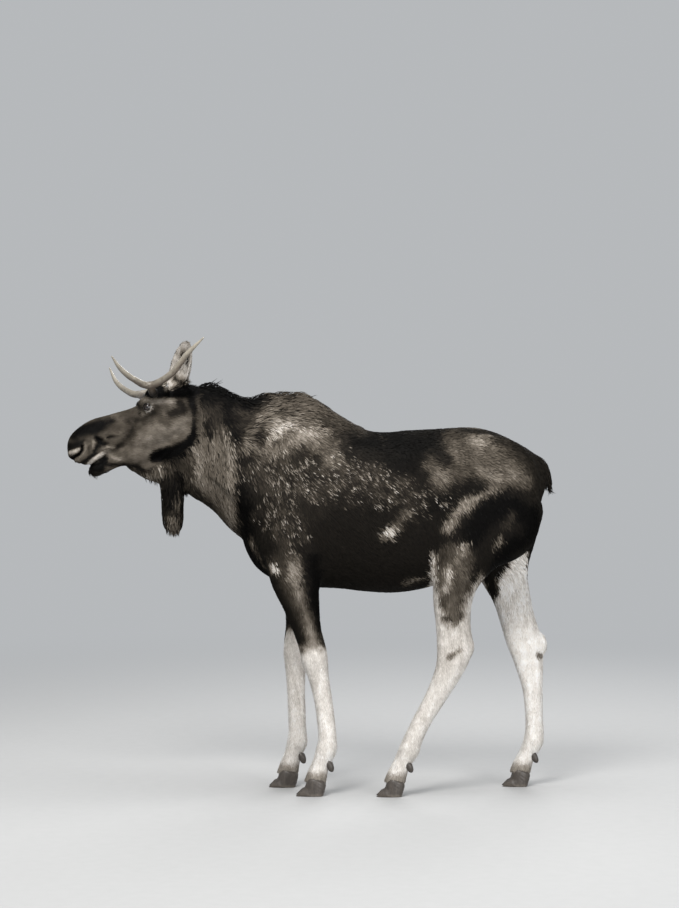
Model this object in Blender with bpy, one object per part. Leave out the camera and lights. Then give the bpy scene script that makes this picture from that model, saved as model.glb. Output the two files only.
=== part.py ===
"""A life-size young bull moose, standing, as a still model parted into named solids.

Metres, +Z up. The animal faces -Y, so +X is its left. The floor is z = 0, and the finished
model is moved so that its box is centred on the origin in X and Y.

The flesh is built from lofted tubes and rounded masses, fused into one closed skin, and then
parted by convex cutting regions with a thin gap. Horn, hooves and eyes are solids of their own.
"""

import math

import bmesh
import bpy
import numpy as np
from mathutils import Matrix, Vector

# ---------------------------------------------------------------- driving dimensions, metres
GAP = 0.0003  # clearance between touching solids
FUSE_VOXEL = 0.0065  # grain of the fused flesh
FLESH_TRIANGLES = 3050  # of the fused flesh, before it is parted
TUBE_SIDES = 28
TUBE_RINGS = 40

HEAD_ORIGIN = Vector((0.012, -0.592, 1.572))  # where the skull meets the neck
HEAD_PITCH = math.radians(25)  # nose down
HEAD_YAW = math.radians(8)  # nose towards the animal's left
HEAD_ROLL = math.radians(3.0)  # left side up

EYE_RADIUS = 0.0195
EYE_PLACE = (0.0665, -0.176, 0.107)  # head frame, left eye's centre
NOSTRIL_PLACE = (0.062, -0.497, 0.046)  # head frame, left nostril

EAR_WIDTH = 0.054  # half of the widest

BEAM_RADIUS = 0.0165
TINE_RADIUS = 0.0135
TINE_TIP_RADIUS = 0.004

CLAW_HALF_WIDTH = 0.0235
CLAW_SPREAD = 0.0255  # of each claw's middle from the foot's
CLAW_HEIGHT = 0.060
SIDES = {"left": 1, "right": -1}


# ---------------------------------------------------------------- materials
COATS = {
    "coat_dark": ((0.022, 0.016, 0.012), 0.85),
    "coat_brown": ((0.070, 0.050, 0.036), 0.85),
    "coat_pale": ((0.42, 0.38, 0.33), 0.85),
    "antler": ((0.55, 0.49, 0.40), 0.45),
    "hoof": ((0.035, 0.030, 0.026), 0.4),
    "eye": ((0.012, 0.008, 0.006), 0.08),
}


def material(name):
    """The Principled material of that finish, made once."""
    found = bpy.data.materials.get(name)
    if found:
        return found
    colour, roughness = COATS[name]
    made = bpy.data.materials.new(name)
    made.use_nodes = True
    shader = made.node_tree.nodes["Principled BSDF"]
    shader.inputs["Base Color"].default_value = (*colour, 1)
    shader.inputs["Roughness"].default_value = roughness
    shader.inputs["Metallic"].default_value = 0.0
    return made


# ---------------------------------------------------------------- building blocks
def new_object(name, bm, finish=None):
    """Links a bmesh to the scene as a named object, and frees the bmesh."""
    bmesh.ops.triangulate(bm, faces=bm.faces)
    bmesh.ops.recalc_face_normals(bm, faces=bm.faces)
    if bm.calc_volume(signed=True) < 0:
        bmesh.ops.reverse_faces(bm, faces=bm.faces)
    mesh = bpy.data.meshes.new(name)
    bm.to_mesh(mesh)
    bm.free()
    obj = bpy.data.objects.new(name, mesh)
    bpy.context.scene.collection.objects.link(obj)
    if finish:
        obj.data.materials.append(material(finish))
    return obj


def smooth_rows(rows, count):
    """count rows along a Catmull-Rom curve through the given rows of numbers."""
    rows = np.array(rows, float)
    padded = np.vstack([2 * rows[0] - rows[1], rows, 2 * rows[-1] - rows[-2]])
    found = []
    for at in np.linspace(0, len(rows) - 1, count):
        i = min(int(at), len(rows) - 2)
        t = at - i
        p0, p1, p2, p3 = padded[i : i + 4]
        found.append(
            0.5
            * (
                2 * p1
                + (p2 - p0) * t
                + (2 * p0 - 5 * p1 + 4 * p2 - p3) * t**2
                + (3 * p1 - p0 - 3 * p2 + p3) * t**3
            )
        )
    return np.array(found)


def power(value, exponent):
    return math.copysign(abs(value) ** exponent, value)


def tube(rows, rings=TUBE_RINGS, sides=TUBE_SIDES, frame=None):
    """A closed loft through stations (x, y, z, half width, ahead, behind, n ahead, n behind).

    Its sections lie across the path. "Ahead" is up on a path that runs to the rear, and
    forward on a path that runs up; n is each half's roundness, 2 for an ellipse, less for a
    peaked half and more for a square one. frame moves the finished shape into place.
    """
    stations = smooth_rows(rows, rings)
    path = stations[:, :3]
    tangents = np.gradient(path, axis=0)
    bm = bmesh.new()
    loops = []
    for centre, tangent, station in zip(path, tangents, stations, strict=True):
        along = Vector(tangent).normalized()
        across = (Vector((1, 0, 0)) - along * along.x).normalized()
        ahead = across.cross(along)
        width, front, rear, n_front, n_rear = station[3:8]
        loop = []
        for k in range(sides):
            turn = 2 * math.pi * k / sides
            c, s = math.cos(turn), math.sin(turn)
            n = n_front if s > 0 else n_rear
            reach = front if s > 0 else rear
            offset = across * (width * power(c, 2 / n)) + ahead * (reach * power(s, 2 / n))
            loop.append(bm.verts.new(Vector(centre) + offset))
        loops.append(loop)
    for one, other in zip(loops, loops[1:], strict=False):
        for k in range(sides):
            bm.faces.new((one[k], one[(k + 1) % sides], other[(k + 1) % sides], other[k]))
    bm.faces.new(reversed(loops[0]))
    bm.faces.new(loops[-1])
    if frame:
        bm.transform(frame)
    return bm


def mass(centre, radii, tilt=0.0, frame=None, turn=0.0, fineness=4):
    """A rounded muscle or bone mass. tilt leans its top backwards, about X; turn is about Z."""
    bm = bmesh.new()
    bmesh.ops.create_icosphere(bm, subdivisions=fineness, radius=1)
    place = Matrix.Translation(centre) @ Matrix.Rotation(turn, 4, "Z")
    place = place @ Matrix.Rotation(-tilt, 4, "X") @ Matrix.Diagonal((*radii, 1))
    bm.transform(frame @ place if frame else place)
    return bm


def mirrored(row, side):
    """A row or point with its x on that side of the animal."""
    return (row[0] * side, *row[1:])


def join(parts):
    """One bmesh holding all of these."""
    whole = bmesh.new()
    for bm in parts:
        mesh = bpy.data.meshes.new("joined")
        bm.to_mesh(mesh)
        bm.free()
        whole.from_mesh(mesh)
        bpy.data.meshes.remove(mesh)
    return whole


def apply(obj):
    """Replaces the object's mesh with the one that its modifiers make."""
    graph = bpy.context.evaluated_depsgraph_get()
    mesh = bpy.data.meshes.new_from_object(obj.evaluated_get(graph))
    obj.modifiers.clear()
    old = obj.data
    obj.data = mesh
    bpy.data.meshes.remove(old)
    return obj


def boolean(obj, tool, operation):
    """obj cut by, or cut to, the tool. The tool is removed."""
    cut = obj.modifiers.new(operation, "BOOLEAN")
    cut.operation = operation
    cut.solver = "EXACT"
    cut.object = tool
    apply(obj)
    bpy.data.objects.remove(tool)
    return obj


def grown(obj, by):
    """A copy of the object, its surface moved out by that much."""
    bm = bmesh.new()
    bm.from_mesh(obj.data)
    bm.normal_update()
    moved = [v.co + v.normal * by * v.calc_shell_factor() for v in bm.verts]
    for v, place in zip(bm.verts, moved, strict=True):
        v.co = place
    return new_object("tool", bm)


def carve(obj, other):
    """Takes the other solid, with its clearance, out of obj."""
    return boolean(obj, grown(other, GAP), "DIFFERENCE")


# ---------------------------------------------------------------- the flesh
def head_frame():
    """From the head's own frame, nose along -Y, to the animal's."""
    turn = Matrix.Rotation(HEAD_YAW, 4, "Z") @ Matrix.Rotation(HEAD_PITCH, 4, "X")
    return Matrix.Translation(HEAD_ORIGIN) @ turn @ Matrix.Rotation(-HEAD_ROLL, 4, "Y")


def trunk_flesh():
    """Barrel, hump, loin and croup, from the breast to the buttocks."""
    barrel = tube(
        [
            (0, -0.385, 1.090, 0.085, 0.1900, 0.1000, 2.0, 2.0),
            (0, -0.340, 1.120, 0.150, 0.4400, 0.1950, 1.8, 2.0),
            (0, -0.270, 1.195, 0.188, 0.4650, 0.3200, 1.45, 2.0),
            (0, -0.190, 1.190, 0.205, 0.4790, 0.3420, 1.4, 2.1),
            (0, -0.100, 1.185, 0.222, 0.4390, 0.3390, 1.5, 2.2),
            (0, 0.000, 1.180, 0.236, 0.3730, 0.3370, 1.75, 2.2),
            (0, 0.105, 1.175, 0.246, 0.3240, 0.3420, 2.0, 2.2),
            (0, 0.230, 1.172, 0.247, 0.3225, 0.3455, 2.0, 2.2),
            (0, 0.345, 1.182, 0.236, 0.3280, 0.3270, 2.0, 2.2),
            (0, 0.450, 1.215, 0.213, 0.3070, 0.2850, 2.0, 2.1),
            (0, 0.585, 1.260, 0.193, 0.2590, 0.2400, 2.1, 2.0),
            (0, 0.700, 1.265, 0.166, 0.1970, 0.2050, 2.1, 2.0),
            (0, 0.790, 1.250, 0.125, 0.1410, 0.1600, 2.0, 2.0),
            (0, 0.843, 1.235, 0.068, 0.0800, 0.0950, 2.0, 2.0),
        ],
        rings=60,
        sides=40,
    )
    breast = mass((0, -0.290, 1.020), (0.120, 0.095, 0.150), math.radians(-30))
    return [barrel, breast]


def neck_flesh():
    """Deep narrow neck with its mane along the top, from behind the jaw into the shoulders."""
    return [
        tube(
            [
                (0.012, -0.690, 1.540, 0.070, 0.130, 0.160, 1.9, 1.9),
                (0.012, -0.640, 1.515, 0.096, 0.222, 0.235, 1.8, 1.9),
                (0.010, -0.568, 1.470, 0.110, 0.226, 0.235, 1.7, 1.9),
                (0.006, -0.477, 1.415, 0.122, 0.245, 0.232, 1.7, 1.9),
                (0.002, -0.380, 1.340, 0.145, 0.270, 0.225, 1.7, 2.0),
                (0.0, -0.290, 1.270, 0.165, 0.320, 0.245, 1.6, 2.0),
                (0.0, -0.200, 1.230, 0.160, 0.330, 0.250, 1.6, 2.0),
            ],
            sides=36,
        )
    ]


def bell_flesh():
    """The long haired dewlap that hangs from the throat, and the throat's fold above it."""
    hanging = tube(
        [
            (0.020, -0.688, 1.050, 0.016, 0.016, 0.016, 2, 2),
            (0.020, -0.688, 1.062, 0.032, 0.034, 0.032, 2, 2),
            (0.020, -0.690, 1.110, 0.041, 0.044, 0.043, 2, 2),
            (0.020, -0.692, 1.190, 0.042, 0.046, 0.046, 2, 2),
            (0.019, -0.694, 1.270, 0.044, 0.050, 0.056, 2, 2),
            (0.016, -0.695, 1.340, 0.052, 0.068, 0.070, 2, 2),
            (0.014, -0.690, 1.420, 0.060, 0.080, 0.090, 2, 2),
        ],
        rings=24,
    )
    fold = mass((0.026, -0.778, 1.348), (0.044, 0.130, 0.054), math.radians(20))
    return [hanging, fold]


def head_flesh():
    """Skull, cheeks, long overhanging muzzle and lower jaw, in the head's frame."""
    frame = head_frame()
    skull = tube(
        [
            (0, -0.540, 0.036, 0.024, 0.020, 0.022, 2.2, 2.0),
            (0, -0.531, 0.042, 0.042, 0.046, 0.042, 2.4, 2.2),
            (0, -0.505, 0.052, 0.052, 0.076, 0.058, 2.4, 2.4),
            (0, -0.470, 0.060, 0.056, 0.090, 0.066, 2.4, 2.6),
            (0, -0.400, 0.070, 0.056, 0.091, 0.072, 2.3, 2.6),
            (0, -0.320, 0.072, 0.055, 0.074, 0.080, 2.3, 2.4),
            (0, -0.255, 0.052, 0.062, 0.087, 0.112, 2.4, 2.4),
            (0, -0.205, 0.035, 0.076, 0.109, 0.120, 2.6, 2.4),
            (0, -0.150, 0.030, 0.084, 0.124, 0.120, 2.8, 2.2),
            (0, -0.090, 0.028, 0.085, 0.120, 0.112, 2.6, 2.2),
            (0, -0.030, 0.030, 0.080, 0.110, 0.105, 2.3, 2.2),
            (0, 0.030, 0.030, 0.066, 0.092, 0.080, 2.0, 2.0),
            (0, 0.060, 0.030, 0.035, 0.060, 0.045, 2.0, 2.0),
        ],
        rings=56,
        sides=36,
        frame=frame,
    )
    jaw = tube(
        [
            (0, -0.508, -0.026, 0.022, 0.010, 0.012, 2.2, 2.0),
            (0, -0.498, -0.031, 0.034, 0.018, 0.024, 2.4, 2.0),
            (0, -0.468, -0.032, 0.039, 0.025, 0.034, 2.6, 2.0),
            (0, -0.420, -0.028, 0.036, 0.028, 0.036, 2.4, 2.0),
            (0, -0.365, -0.026, 0.038, 0.043, 0.044, 2.2, 2.0),
            (0, -0.300, -0.036, 0.044, 0.060, 0.062, 2.2, 2.0),
            (0, -0.220, -0.044, 0.056, 0.065, 0.066, 2.2, 2.0),
            (0, -0.120, -0.040, 0.068, 0.065, 0.062, 2.2, 2.0),
            (0, -0.030, -0.030, 0.070, 0.060, 0.062, 2.2, 2.0),
            (0, 0.030, -0.020, 0.050, 0.040, 0.050, 2.0, 2.0),
        ],
        rings=44,
        sides=32,
        frame=frame,
    )
    parts = [skull, jaw]
    for side in SIDES.values():
        parts += [
            mass((0.056 * side, -0.052, 0.000), (0.038, 0.090, 0.092), 0.35, frame),
            mass((0.050 * side, -0.175, -0.005), (0.032, 0.085, 0.050), 0.1, frame),
            mass((0.066 * side, -0.170, 0.133), (0.027, 0.048, 0.017), -0.15, frame),
            mass((0.046 * side, -0.500, 0.044), (0.018, 0.046, 0.040), 0.5, frame),
            mass((0.062 * side, -0.098, 0.128), (0.030, 0.034, 0.028), 0, frame),
            mass((0.072 * side, -0.016, 0.108), (0.034, 0.036, 0.034), 0, frame),
            mass((0.076 * side, -0.118, 0.143), (0.036, 0.048, 0.037), 0, frame),
        ]
    return parts


def foreleg_flesh(side, foot):
    """A foreleg from the shoulder to the pastern; foot shifts name its stance."""
    rows = foot["rows"]
    leg = tube([mirrored(row, side) for row in rows], rings=72, sides=24)
    shoulder = mass((0.100 * side, -0.175, 1.290), (0.092, 0.145, 0.260), math.radians(12))
    arm = mass((0.138 * side, -0.170, 1.040), (0.078, 0.118, 0.155), math.radians(-22))
    point = mass((0.115 * side, -0.285, 1.030), (0.060, 0.050, 0.085), math.radians(-15))
    return [leg, shoulder, arm, point]


def hindleg_flesh(side, foot):
    """A hind leg from the haunch to the pastern, with the point of its hock."""
    leg = tube([mirrored(row, side) for row in foot["rows"]], rings=80, sides=24)
    haunch = mass((0.110 * side, 0.610, 1.285), (0.092, 0.215, 0.200), math.radians(-12))
    x, y, z = foot["hock_point"]
    heel = mass((x * side, y, z), (0.023, 0.024, 0.050), math.radians(foot["hock_tilt"]))
    return [leg, haunch, heel]


# Stations of the four legs, from the pastern up, as tube() takes them, with x for the left.
LEGS = {
    "fore_left": {
        "rows": [
            (0.130, -0.104, 0.050, 0.040, 0.042, 0.040, 2.2, 2.2),
            (0.130, -0.094, 0.085, 0.042, 0.040, 0.044, 2.2, 2.2),
            (0.130, -0.076, 0.135, 0.037, 0.036, 0.038, 2.2, 2.0),
            (0.130, -0.057, 0.190, 0.041, 0.040, 0.048, 2.2, 2.0),
            (0.130, -0.052, 0.240, 0.037, 0.036, 0.041, 2.2, 2.0),
            (0.129, -0.058, 0.318, 0.033, 0.037, 0.040, 2.2, 2.0),
            (0.128, -0.069, 0.400, 0.033, 0.038, 0.040, 2.2, 2.0),
            (0.127, -0.086, 0.488, 0.038, 0.044, 0.044, 2.2, 2.0),
            (0.126, -0.101, 0.555, 0.049, 0.055, 0.055, 2.4, 2.2),
            (0.126, -0.112, 0.615, 0.048, 0.057, 0.055, 2.3, 2.2),
            (0.127, -0.132, 0.682, 0.050, 0.060, 0.060, 2.1, 2.1),
            (0.130, -0.157, 0.789, 0.062, 0.080, 0.080, 2.0, 2.0),
            (0.132, -0.180, 0.887, 0.075, 0.102, 0.104, 2.0, 2.0),
            (0.128, -0.190, 1.000, 0.088, 0.120, 0.128, 2.0, 2.0),
            (0.118, -0.185, 1.150, 0.092, 0.125, 0.130, 2.0, 2.0),
            (0.105, -0.170, 1.290, 0.080, 0.110, 0.110, 2.0, 2.0),
        ],
    },
    "fore_right": {
        "rows": [
            (0.130, -0.222, 0.050, 0.040, 0.042, 0.040, 2.2, 2.2),
            (0.130, -0.213, 0.085, 0.042, 0.040, 0.044, 2.2, 2.2),
            (0.130, -0.197, 0.135, 0.037, 0.036, 0.038, 2.2, 2.0),
            (0.130, -0.181, 0.190, 0.041, 0.040, 0.048, 2.2, 2.0),
            (0.130, -0.179, 0.240, 0.037, 0.036, 0.041, 2.2, 2.0),
            (0.129, -0.181, 0.318, 0.033, 0.037, 0.040, 2.2, 2.0),
            (0.128, -0.183, 0.400, 0.033, 0.038, 0.040, 2.2, 2.0),
            (0.127, -0.184, 0.488, 0.038, 0.044, 0.044, 2.2, 2.0),
            (0.126, -0.181, 0.560, 0.049, 0.055, 0.055, 2.4, 2.2),
            (0.126, -0.175, 0.620, 0.048, 0.057, 0.055, 2.3, 2.2),
            (0.127, -0.166, 0.700, 0.050, 0.062, 0.062, 2.1, 2.1),
            (0.130, -0.164, 0.800, 0.062, 0.080, 0.080, 2.0, 2.0),
            (0.132, -0.175, 0.900, 0.075, 0.102, 0.104, 2.0, 2.0),
            (0.128, -0.185, 1.010, 0.088, 0.120, 0.128, 2.0, 2.0),
            (0.118, -0.185, 1.150, 0.092, 0.125, 0.130, 2.0, 2.0),
            (0.105, -0.170, 1.290, 0.080, 0.110, 0.110, 2.0, 2.0),
        ],
    },
    "hind_left": {
        "rows": [
            (0.150, 0.222, 0.050, 0.039, 0.041, 0.040, 2.2, 2.2),
            (0.150, 0.234, 0.085, 0.040, 0.040, 0.043, 2.2, 2.2),
            (0.150, 0.256, 0.135, 0.036, 0.036, 0.038, 2.2, 2.0),
            (0.150, 0.284, 0.192, 0.041, 0.040, 0.048, 2.2, 2.0),
            (0.150, 0.304, 0.240, 0.037, 0.038, 0.042, 2.2, 2.0),
            (0.149, 0.340, 0.312, 0.034, 0.039, 0.041, 2.2, 2.0),
            (0.148, 0.396, 0.408, 0.035, 0.045, 0.045, 2.2, 2.0),
            (0.147, 0.446, 0.505, 0.041, 0.058, 0.056, 2.2, 2.0),
            (0.146, 0.472, 0.582, 0.046, 0.074, 0.070, 2.2, 1.9),
            (0.146, 0.474, 0.646, 0.044, 0.077, 0.074, 2.2, 1.7),
            (0.147, 0.468, 0.719, 0.048, 0.078, 0.076, 2.1, 1.7),
            (0.149, 0.466, 0.810, 0.060, 0.087, 0.086, 2.0, 1.9),
            (0.150, 0.484, 0.900, 0.076, 0.106, 0.100, 2.0, 2.0),
            (0.147, 0.530, 1.015, 0.092, 0.145, 0.146, 2.0, 2.0),
            (0.138, 0.605, 1.140, 0.100, 0.180, 0.222, 2.0, 2.0),
            (0.120, 0.640, 1.290, 0.095, 0.180, 0.180, 2.0, 2.0),
        ],
        "hock_point": (0.146, 0.532, 0.615),
        "hock_tilt": 4,
    },
    "hind_right": {
        "rows": [
            (0.150, 0.756, 0.050, 0.039, 0.041, 0.040, 2.2, 2.2),
            (0.150, 0.768, 0.085, 0.040, 0.040, 0.043, 2.2, 2.2),
            (0.150, 0.790, 0.135, 0.036, 0.036, 0.038, 2.2, 2.0),
            (0.150, 0.814, 0.190, 0.041, 0.040, 0.048, 2.2, 2.0),
            (0.150, 0.820, 0.240, 0.037, 0.038, 0.042, 2.2, 2.0),
            (0.149, 0.818, 0.317, 0.034, 0.038, 0.040, 2.2, 2.0),
            (0.148, 0.813, 0.410, 0.035, 0.044, 0.045, 2.2, 2.0),
            (0.147, 0.802, 0.500, 0.041, 0.060, 0.058, 2.2, 2.0),
            (0.146, 0.792, 0.574, 0.046, 0.076, 0.066, 2.2, 1.9),
            (0.146, 0.772, 0.640, 0.044, 0.080, 0.074, 2.2, 1.7),
            (0.147, 0.748, 0.721, 0.048, 0.082, 0.076, 2.1, 1.7),
            (0.149, 0.722, 0.810, 0.060, 0.088, 0.084, 2.0, 1.9),
            (0.150, 0.694, 0.890, 0.076, 0.105, 0.105, 2.0, 2.0),
            (0.147, 0.665, 1.000, 0.092, 0.140, 0.166, 2.0, 2.0),
            (0.138, 0.640, 1.140, 0.100, 0.180, 0.222, 2.0, 2.0),
            (0.120, 0.640, 1.290, 0.095, 0.180, 0.180, 2.0, 2.0),
        ],
        "hock_point": (0.146, 0.851, 0.604),
        "hock_tilt": -10,
    },
}


# Where each foot's sole is centred, x for the left, y.
FEET = {
    "fore_left": (0.130, -0.116),
    "fore_right": (0.130, -0.234),
    "hind_left": (0.150, 0.210),
    "hind_right": (0.150, 0.744),
}

# Each ear's root, its tip, and the way that its hollow faces.
EARS = {
    "left": ((0.100, -0.686, 1.668), (0.175, -0.622, 1.868), (0.80, -0.60, -0.05)),
    "right": ((-0.075, -0.702, 1.655), (-0.165, -0.640, 1.838), (-0.80, -0.60, -0.05)),
}


def leg_side(name):
    return SIDES[name.split("_")[1]]


def all_flesh():
    """Every mass of flesh, fused into one closed, smoothed and thinned-out surface."""
    lumps = trunk_flesh() + neck_flesh() + bell_flesh() + head_flesh()
    for name, leg in LEGS.items():
        build = foreleg_flesh if name.startswith("fore") else hindleg_flesh
        lumps += build(leg_side(name), leg)
    flesh = new_object("flesh", join(lumps))
    fuse = flesh.modifiers.new("fuse", "REMESH")
    fuse.mode = "VOXEL"
    fuse.voxel_size = FUSE_VOXEL
    apply(flesh)
    blend(flesh)
    thin_out(flesh)
    return flesh


def softness(places):
    """How much each point is smoothed: fully on the body, less on the head, bell and legs."""
    head = np.array(head_frame().inverted())
    local = places @ head[:3, :3].T + head[:3, 3]
    on_head = np.clip((0.02 - local[:, 1]) / 0.08, 0, 1)
    on_leg = np.clip((0.75 - places[:, 2]) / 0.15, 0, 1)
    return 1 - np.maximum(0.88 * on_head, 0.80 * on_leg)


def coarseness(places):
    """How much each point may be thinned out: least on the head."""
    head = np.array(head_frame().inverted())
    local = places @ head[:3, :3].T + head[:3, 3]
    on_head = np.clip((0.02 - local[:, 1]) / 0.08, 0, 1) * (local[:, 2] > -0.15)
    on_leg = np.clip((0.75 - places[:, 2]) / 0.15, 0, 1)
    return 1 - np.maximum(0.55 * on_head, 0.25 * on_leg)


def weighted_group(obj, name, weights):
    """A vertex group holding one weight for each vertex."""
    group = obj.vertex_groups.new(name=name)
    for index, weight in enumerate(weights):
        group.add([index], float(weight), "REPLACE")
    return group


def places_of(obj):
    places = np.empty(len(obj.data.vertices) * 3, np.float32)
    obj.data.vertices.foreach_get("co", places)
    return places.reshape(-1, 3).astype(float)


def blend(flesh):
    """Rounds the creases where the masses meet."""
    weighted_group(flesh, "softness", softness(places_of(flesh)))
    rounding = flesh.modifiers.new("rounding", "SMOOTH")
    rounding.factor = 0.5
    rounding.iterations = 90
    rounding.vertex_group = "softness"
    apply(flesh)


def thin_out(flesh):
    """Fewer triangles, with the head and the feet kept finest."""
    flesh.vertex_groups.clear()
    weighted_group(flesh, "coarse", coarseness(places_of(flesh)))
    triangles = sum(len(face.vertices) - 2 for face in flesh.data.polygons)
    fewer = flesh.modifiers.new("fewer", "DECIMATE")
    fewer.ratio = FLESH_TRIANGLES / triangles
    fewer.vertex_group = "coarse"
    fewer.vertex_group_factor = 0.03
    apply(flesh)
    flesh.vertex_groups.clear()


# ---------------------------------------------------------------- ears, eyes, horn and hooves
def ear(name, base, tip, opens):
    """A leaf shaped cup, solid at its root. opens is the way its hollow faces."""
    base, tip = Vector(base), Vector(tip)
    along = (tip - base).normalized()
    opens = (Vector(opens) - along * along.dot(opens)).normalized()
    across = along.cross(opens)
    length = (tip - base).length
    # share of the length, share of the width, depth of the cup, thickness
    rows = smooth_rows(
        [
            (-0.16, 0.40, 0.000, 0.030),
            (0.00, 0.52, 0.000, 0.030),
            (0.12, 0.74, 0.016, 0.018),
            (0.30, 0.96, 0.028, 0.011),
            (0.50, 1.00, 0.026, 0.010),
            (0.72, 0.90, 0.020, 0.009),
            (0.90, 0.60, 0.011, 0.008),
            (1.00, 0.16, 0.004, 0.006),
        ],
        10,
    )
    across_steps = 6
    bm = bmesh.new()
    loops = []
    for at, share, cup, thick in rows:
        centre = base + along * length * at
        half = EAR_WIDTH * max(share, 0.08)
        rim = max(0.003, 0.25 * thick)
        outer, inner = [], []
        for k in range(across_steps):
            u = -1 + 2 * k / (across_steps - 1)
            curve = 1 - u * u
            depth = cup * curve + rim + (thick - rim) * curve
            outer.append(bm.verts.new(centre + across * half * u - opens * depth))
            lip = opens * (cup * curve - rim * 0.2)
            inner.append(bm.verts.new(centre + across * half * u * 0.97 - lip))
        loops.append(outer + inner[::-1])
    count = 2 * across_steps
    for one, other in zip(loops, loops[1:], strict=False):
        for k in range(count):
            bm.faces.new((one[k], one[(k + 1) % count], other[(k + 1) % count], other[k]))
    for loop in (loops[0][::-1], loops[-1]):
        for k in range(across_steps - 1):
            bm.faces.new((loop[k], loop[k + 1], loop[-2 - k], loop[-1 - k]))
    return new_object(name, bm, "coat_dark")


def eye(name, side):
    bm = bmesh.new()
    bmesh.ops.create_icosphere(bm, subdivisions=2, radius=EYE_RADIUS)
    x, y, z = EYE_PLACE
    bm.transform(head_frame() @ Matrix.Translation((x * side, y, z)))
    return new_object(name, bm, "eye")


def curve_tube(points, radii, rings, sides=9):
    """A round tube that follows points in space, its own section frame carried along."""
    rows = smooth_rows([(*p, r) for p, r in zip(points, radii, strict=True)], rings)
    path = rows[:, :3]
    tangents = np.gradient(path, axis=0)
    bm = bmesh.new()
    loops = []
    across = Vector((0, 0, 1))
    for centre, tangent, radius in zip(path, tangents, rows[:, 3], strict=True):
        along = Vector(tangent).normalized()
        across = (across - along * along.dot(across)).normalized()
        other = along.cross(across)
        loop = []
        for k in range(sides):
            turn = 2 * math.pi * k / sides
            offset = (across * math.cos(turn) + other * math.sin(turn)) * radius
            loop.append(bm.verts.new(Vector(centre) + offset))
        loops.append(loop)
    for one, other in zip(loops, loops[1:], strict=False):
        for k in range(sides):
            bm.faces.new((one[k], one[(k + 1) % sides], other[(k + 1) % sides], other[k]))
    bm.faces.new(reversed(loops[0]))
    bm.faces.new(loops[-1])
    return bm


# Each antler's crescent, from its front tip through the fork to its rear tip.
ANTLERS = {
    "left": [
        (0.330, -0.920, 1.807),
        (0.300, -0.885, 1.755),
        (0.262, -0.836, 1.7135),
        (0.215, -0.772, 1.688),
        (0.262, -0.685, 1.733),
        (0.315, -0.615, 1.815),
        (0.360, -0.545, 1.882),
    ],
    "right": [
        (-0.330, -0.981, 1.762),
        (-0.295, -0.948, 1.700),
        (-0.255, -0.900, 1.662),
        (-0.215, -0.850, 1.648),
        (-0.262, -0.775, 1.672),
        (-0.310, -0.705, 1.730),
        (-0.345, -0.655, 1.790),
    ],
}


def antler(side_name):
    """Beam and two tines of one antler, parted at the fork."""
    side = SIDES[side_name]
    points = [Vector(p) for p in ANTLERS[side_name]]
    tip, thick = TINE_TIP_RADIUS, TINE_RADIUS
    radii = (tip, thick * 0.75, thick * 0.95, thick * 1.12, thick, thick * 0.8, tip)
    crescent = new_object(f"antler_{side_name}", curve_tube(points, radii, 17, 7), "antler")
    root = head_frame() @ Vector((0.040 * side, -0.122, 0.105))
    burr = head_frame() @ Vector((0.084 * side, -0.126, 0.143))
    middle = (burr + points[3]) / 2 + Vector((0, 0, -0.010))
    beam_path = [root, burr, burr.lerp(middle, 0.35), middle, points[3]]
    wide = BEAM_RADIUS
    beam_radii = (wide * 1.05, wide * 1.30, wide * 1.05, wide, wide * 0.9)
    beam_bm = curve_tube(beam_path, beam_radii, 8, 8)
    beam = new_object(f"antler_{side_name}_beam", beam_bm, "antler")
    carve(beam, crescent)
    beam = keep_largest(beam)
    # The fork's parting plane runs along the beam.
    along = (points[4] - points[2]).normalized()
    front, rear = split(crescent, points[3], along, 0.06)
    front.name = f"antler_{side_name}_front_tine"
    rear.name = f"antler_{side_name}_rear_tine"
    return [beam, front, rear]


def claw(name, x, y, scale):
    """One half of a cloven hoof, flat under its sole at z = 0."""
    w = CLAW_HALF_WIDTH * scale
    h = CLAW_HEIGHT
    sides = 10
    bm = tube(
        [
            (x, y, 0.000, w, 0.067 * scale, 0.046 * scale, 1.7, 2.4),
            (x, y + 0.010, h * 0.5, w, 0.052 * scale, 0.046 * scale, 1.8, 2.2),
            (x, y + 0.021, h, w * 0.92, 0.034 * scale, 0.042 * scale, 2.0, 2.0),
            (x, y + 0.024, h * 1.14, w * 0.66, 0.022 * scale, 0.030 * scale, 2.0, 2.0),
            (x, y + 0.027, h * 1.3, w * 0.40, 0.012 * scale, 0.018 * scale, 2.0, 2.0),
        ],
        rings=5,
        sides=sides,
    )
    bm.verts.ensure_lookup_table()
    for vert in bm.verts[:sides]:
        vert.co.z = 0.0
    return new_object(name, bm, "hoof")


def dewclaw(name, x, y, z):
    bm = bmesh.new()
    bmesh.ops.create_uvsphere(bm, u_segments=7, v_segments=4, radius=1)
    turn = Matrix.Rotation(math.radians(24), 4, "X")
    bm.transform(Matrix.Translation((x, y, z)) @ turn @ Matrix.Diagonal((0.0115, 0.014, 0.026, 1)))
    return new_object(name, bm, "hoof")


def tail():
    """Short and flat, hanging close behind the buttocks."""
    bm = tube(
        [
            (0, 0.792, 1.395, 0.026, 0.020, 0.020, 2, 2),
            (0, 0.838, 1.362, 0.030, 0.021, 0.021, 2, 2),
            (0, 0.860, 1.310, 0.028, 0.018, 0.018, 2, 2),
            (0, 0.868, 1.262, 0.024, 0.015, 0.015, 2, 2),
            (0, 0.871, 1.226, 0.016, 0.010, 0.010, 2, 2),
            (0, 0.871, 1.213, 0.005, 0.004, 0.004, 2, 2),
        ],
        rings=9,
        sides=10,
    )
    return new_object("tail", bm, "coat_brown")


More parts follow.
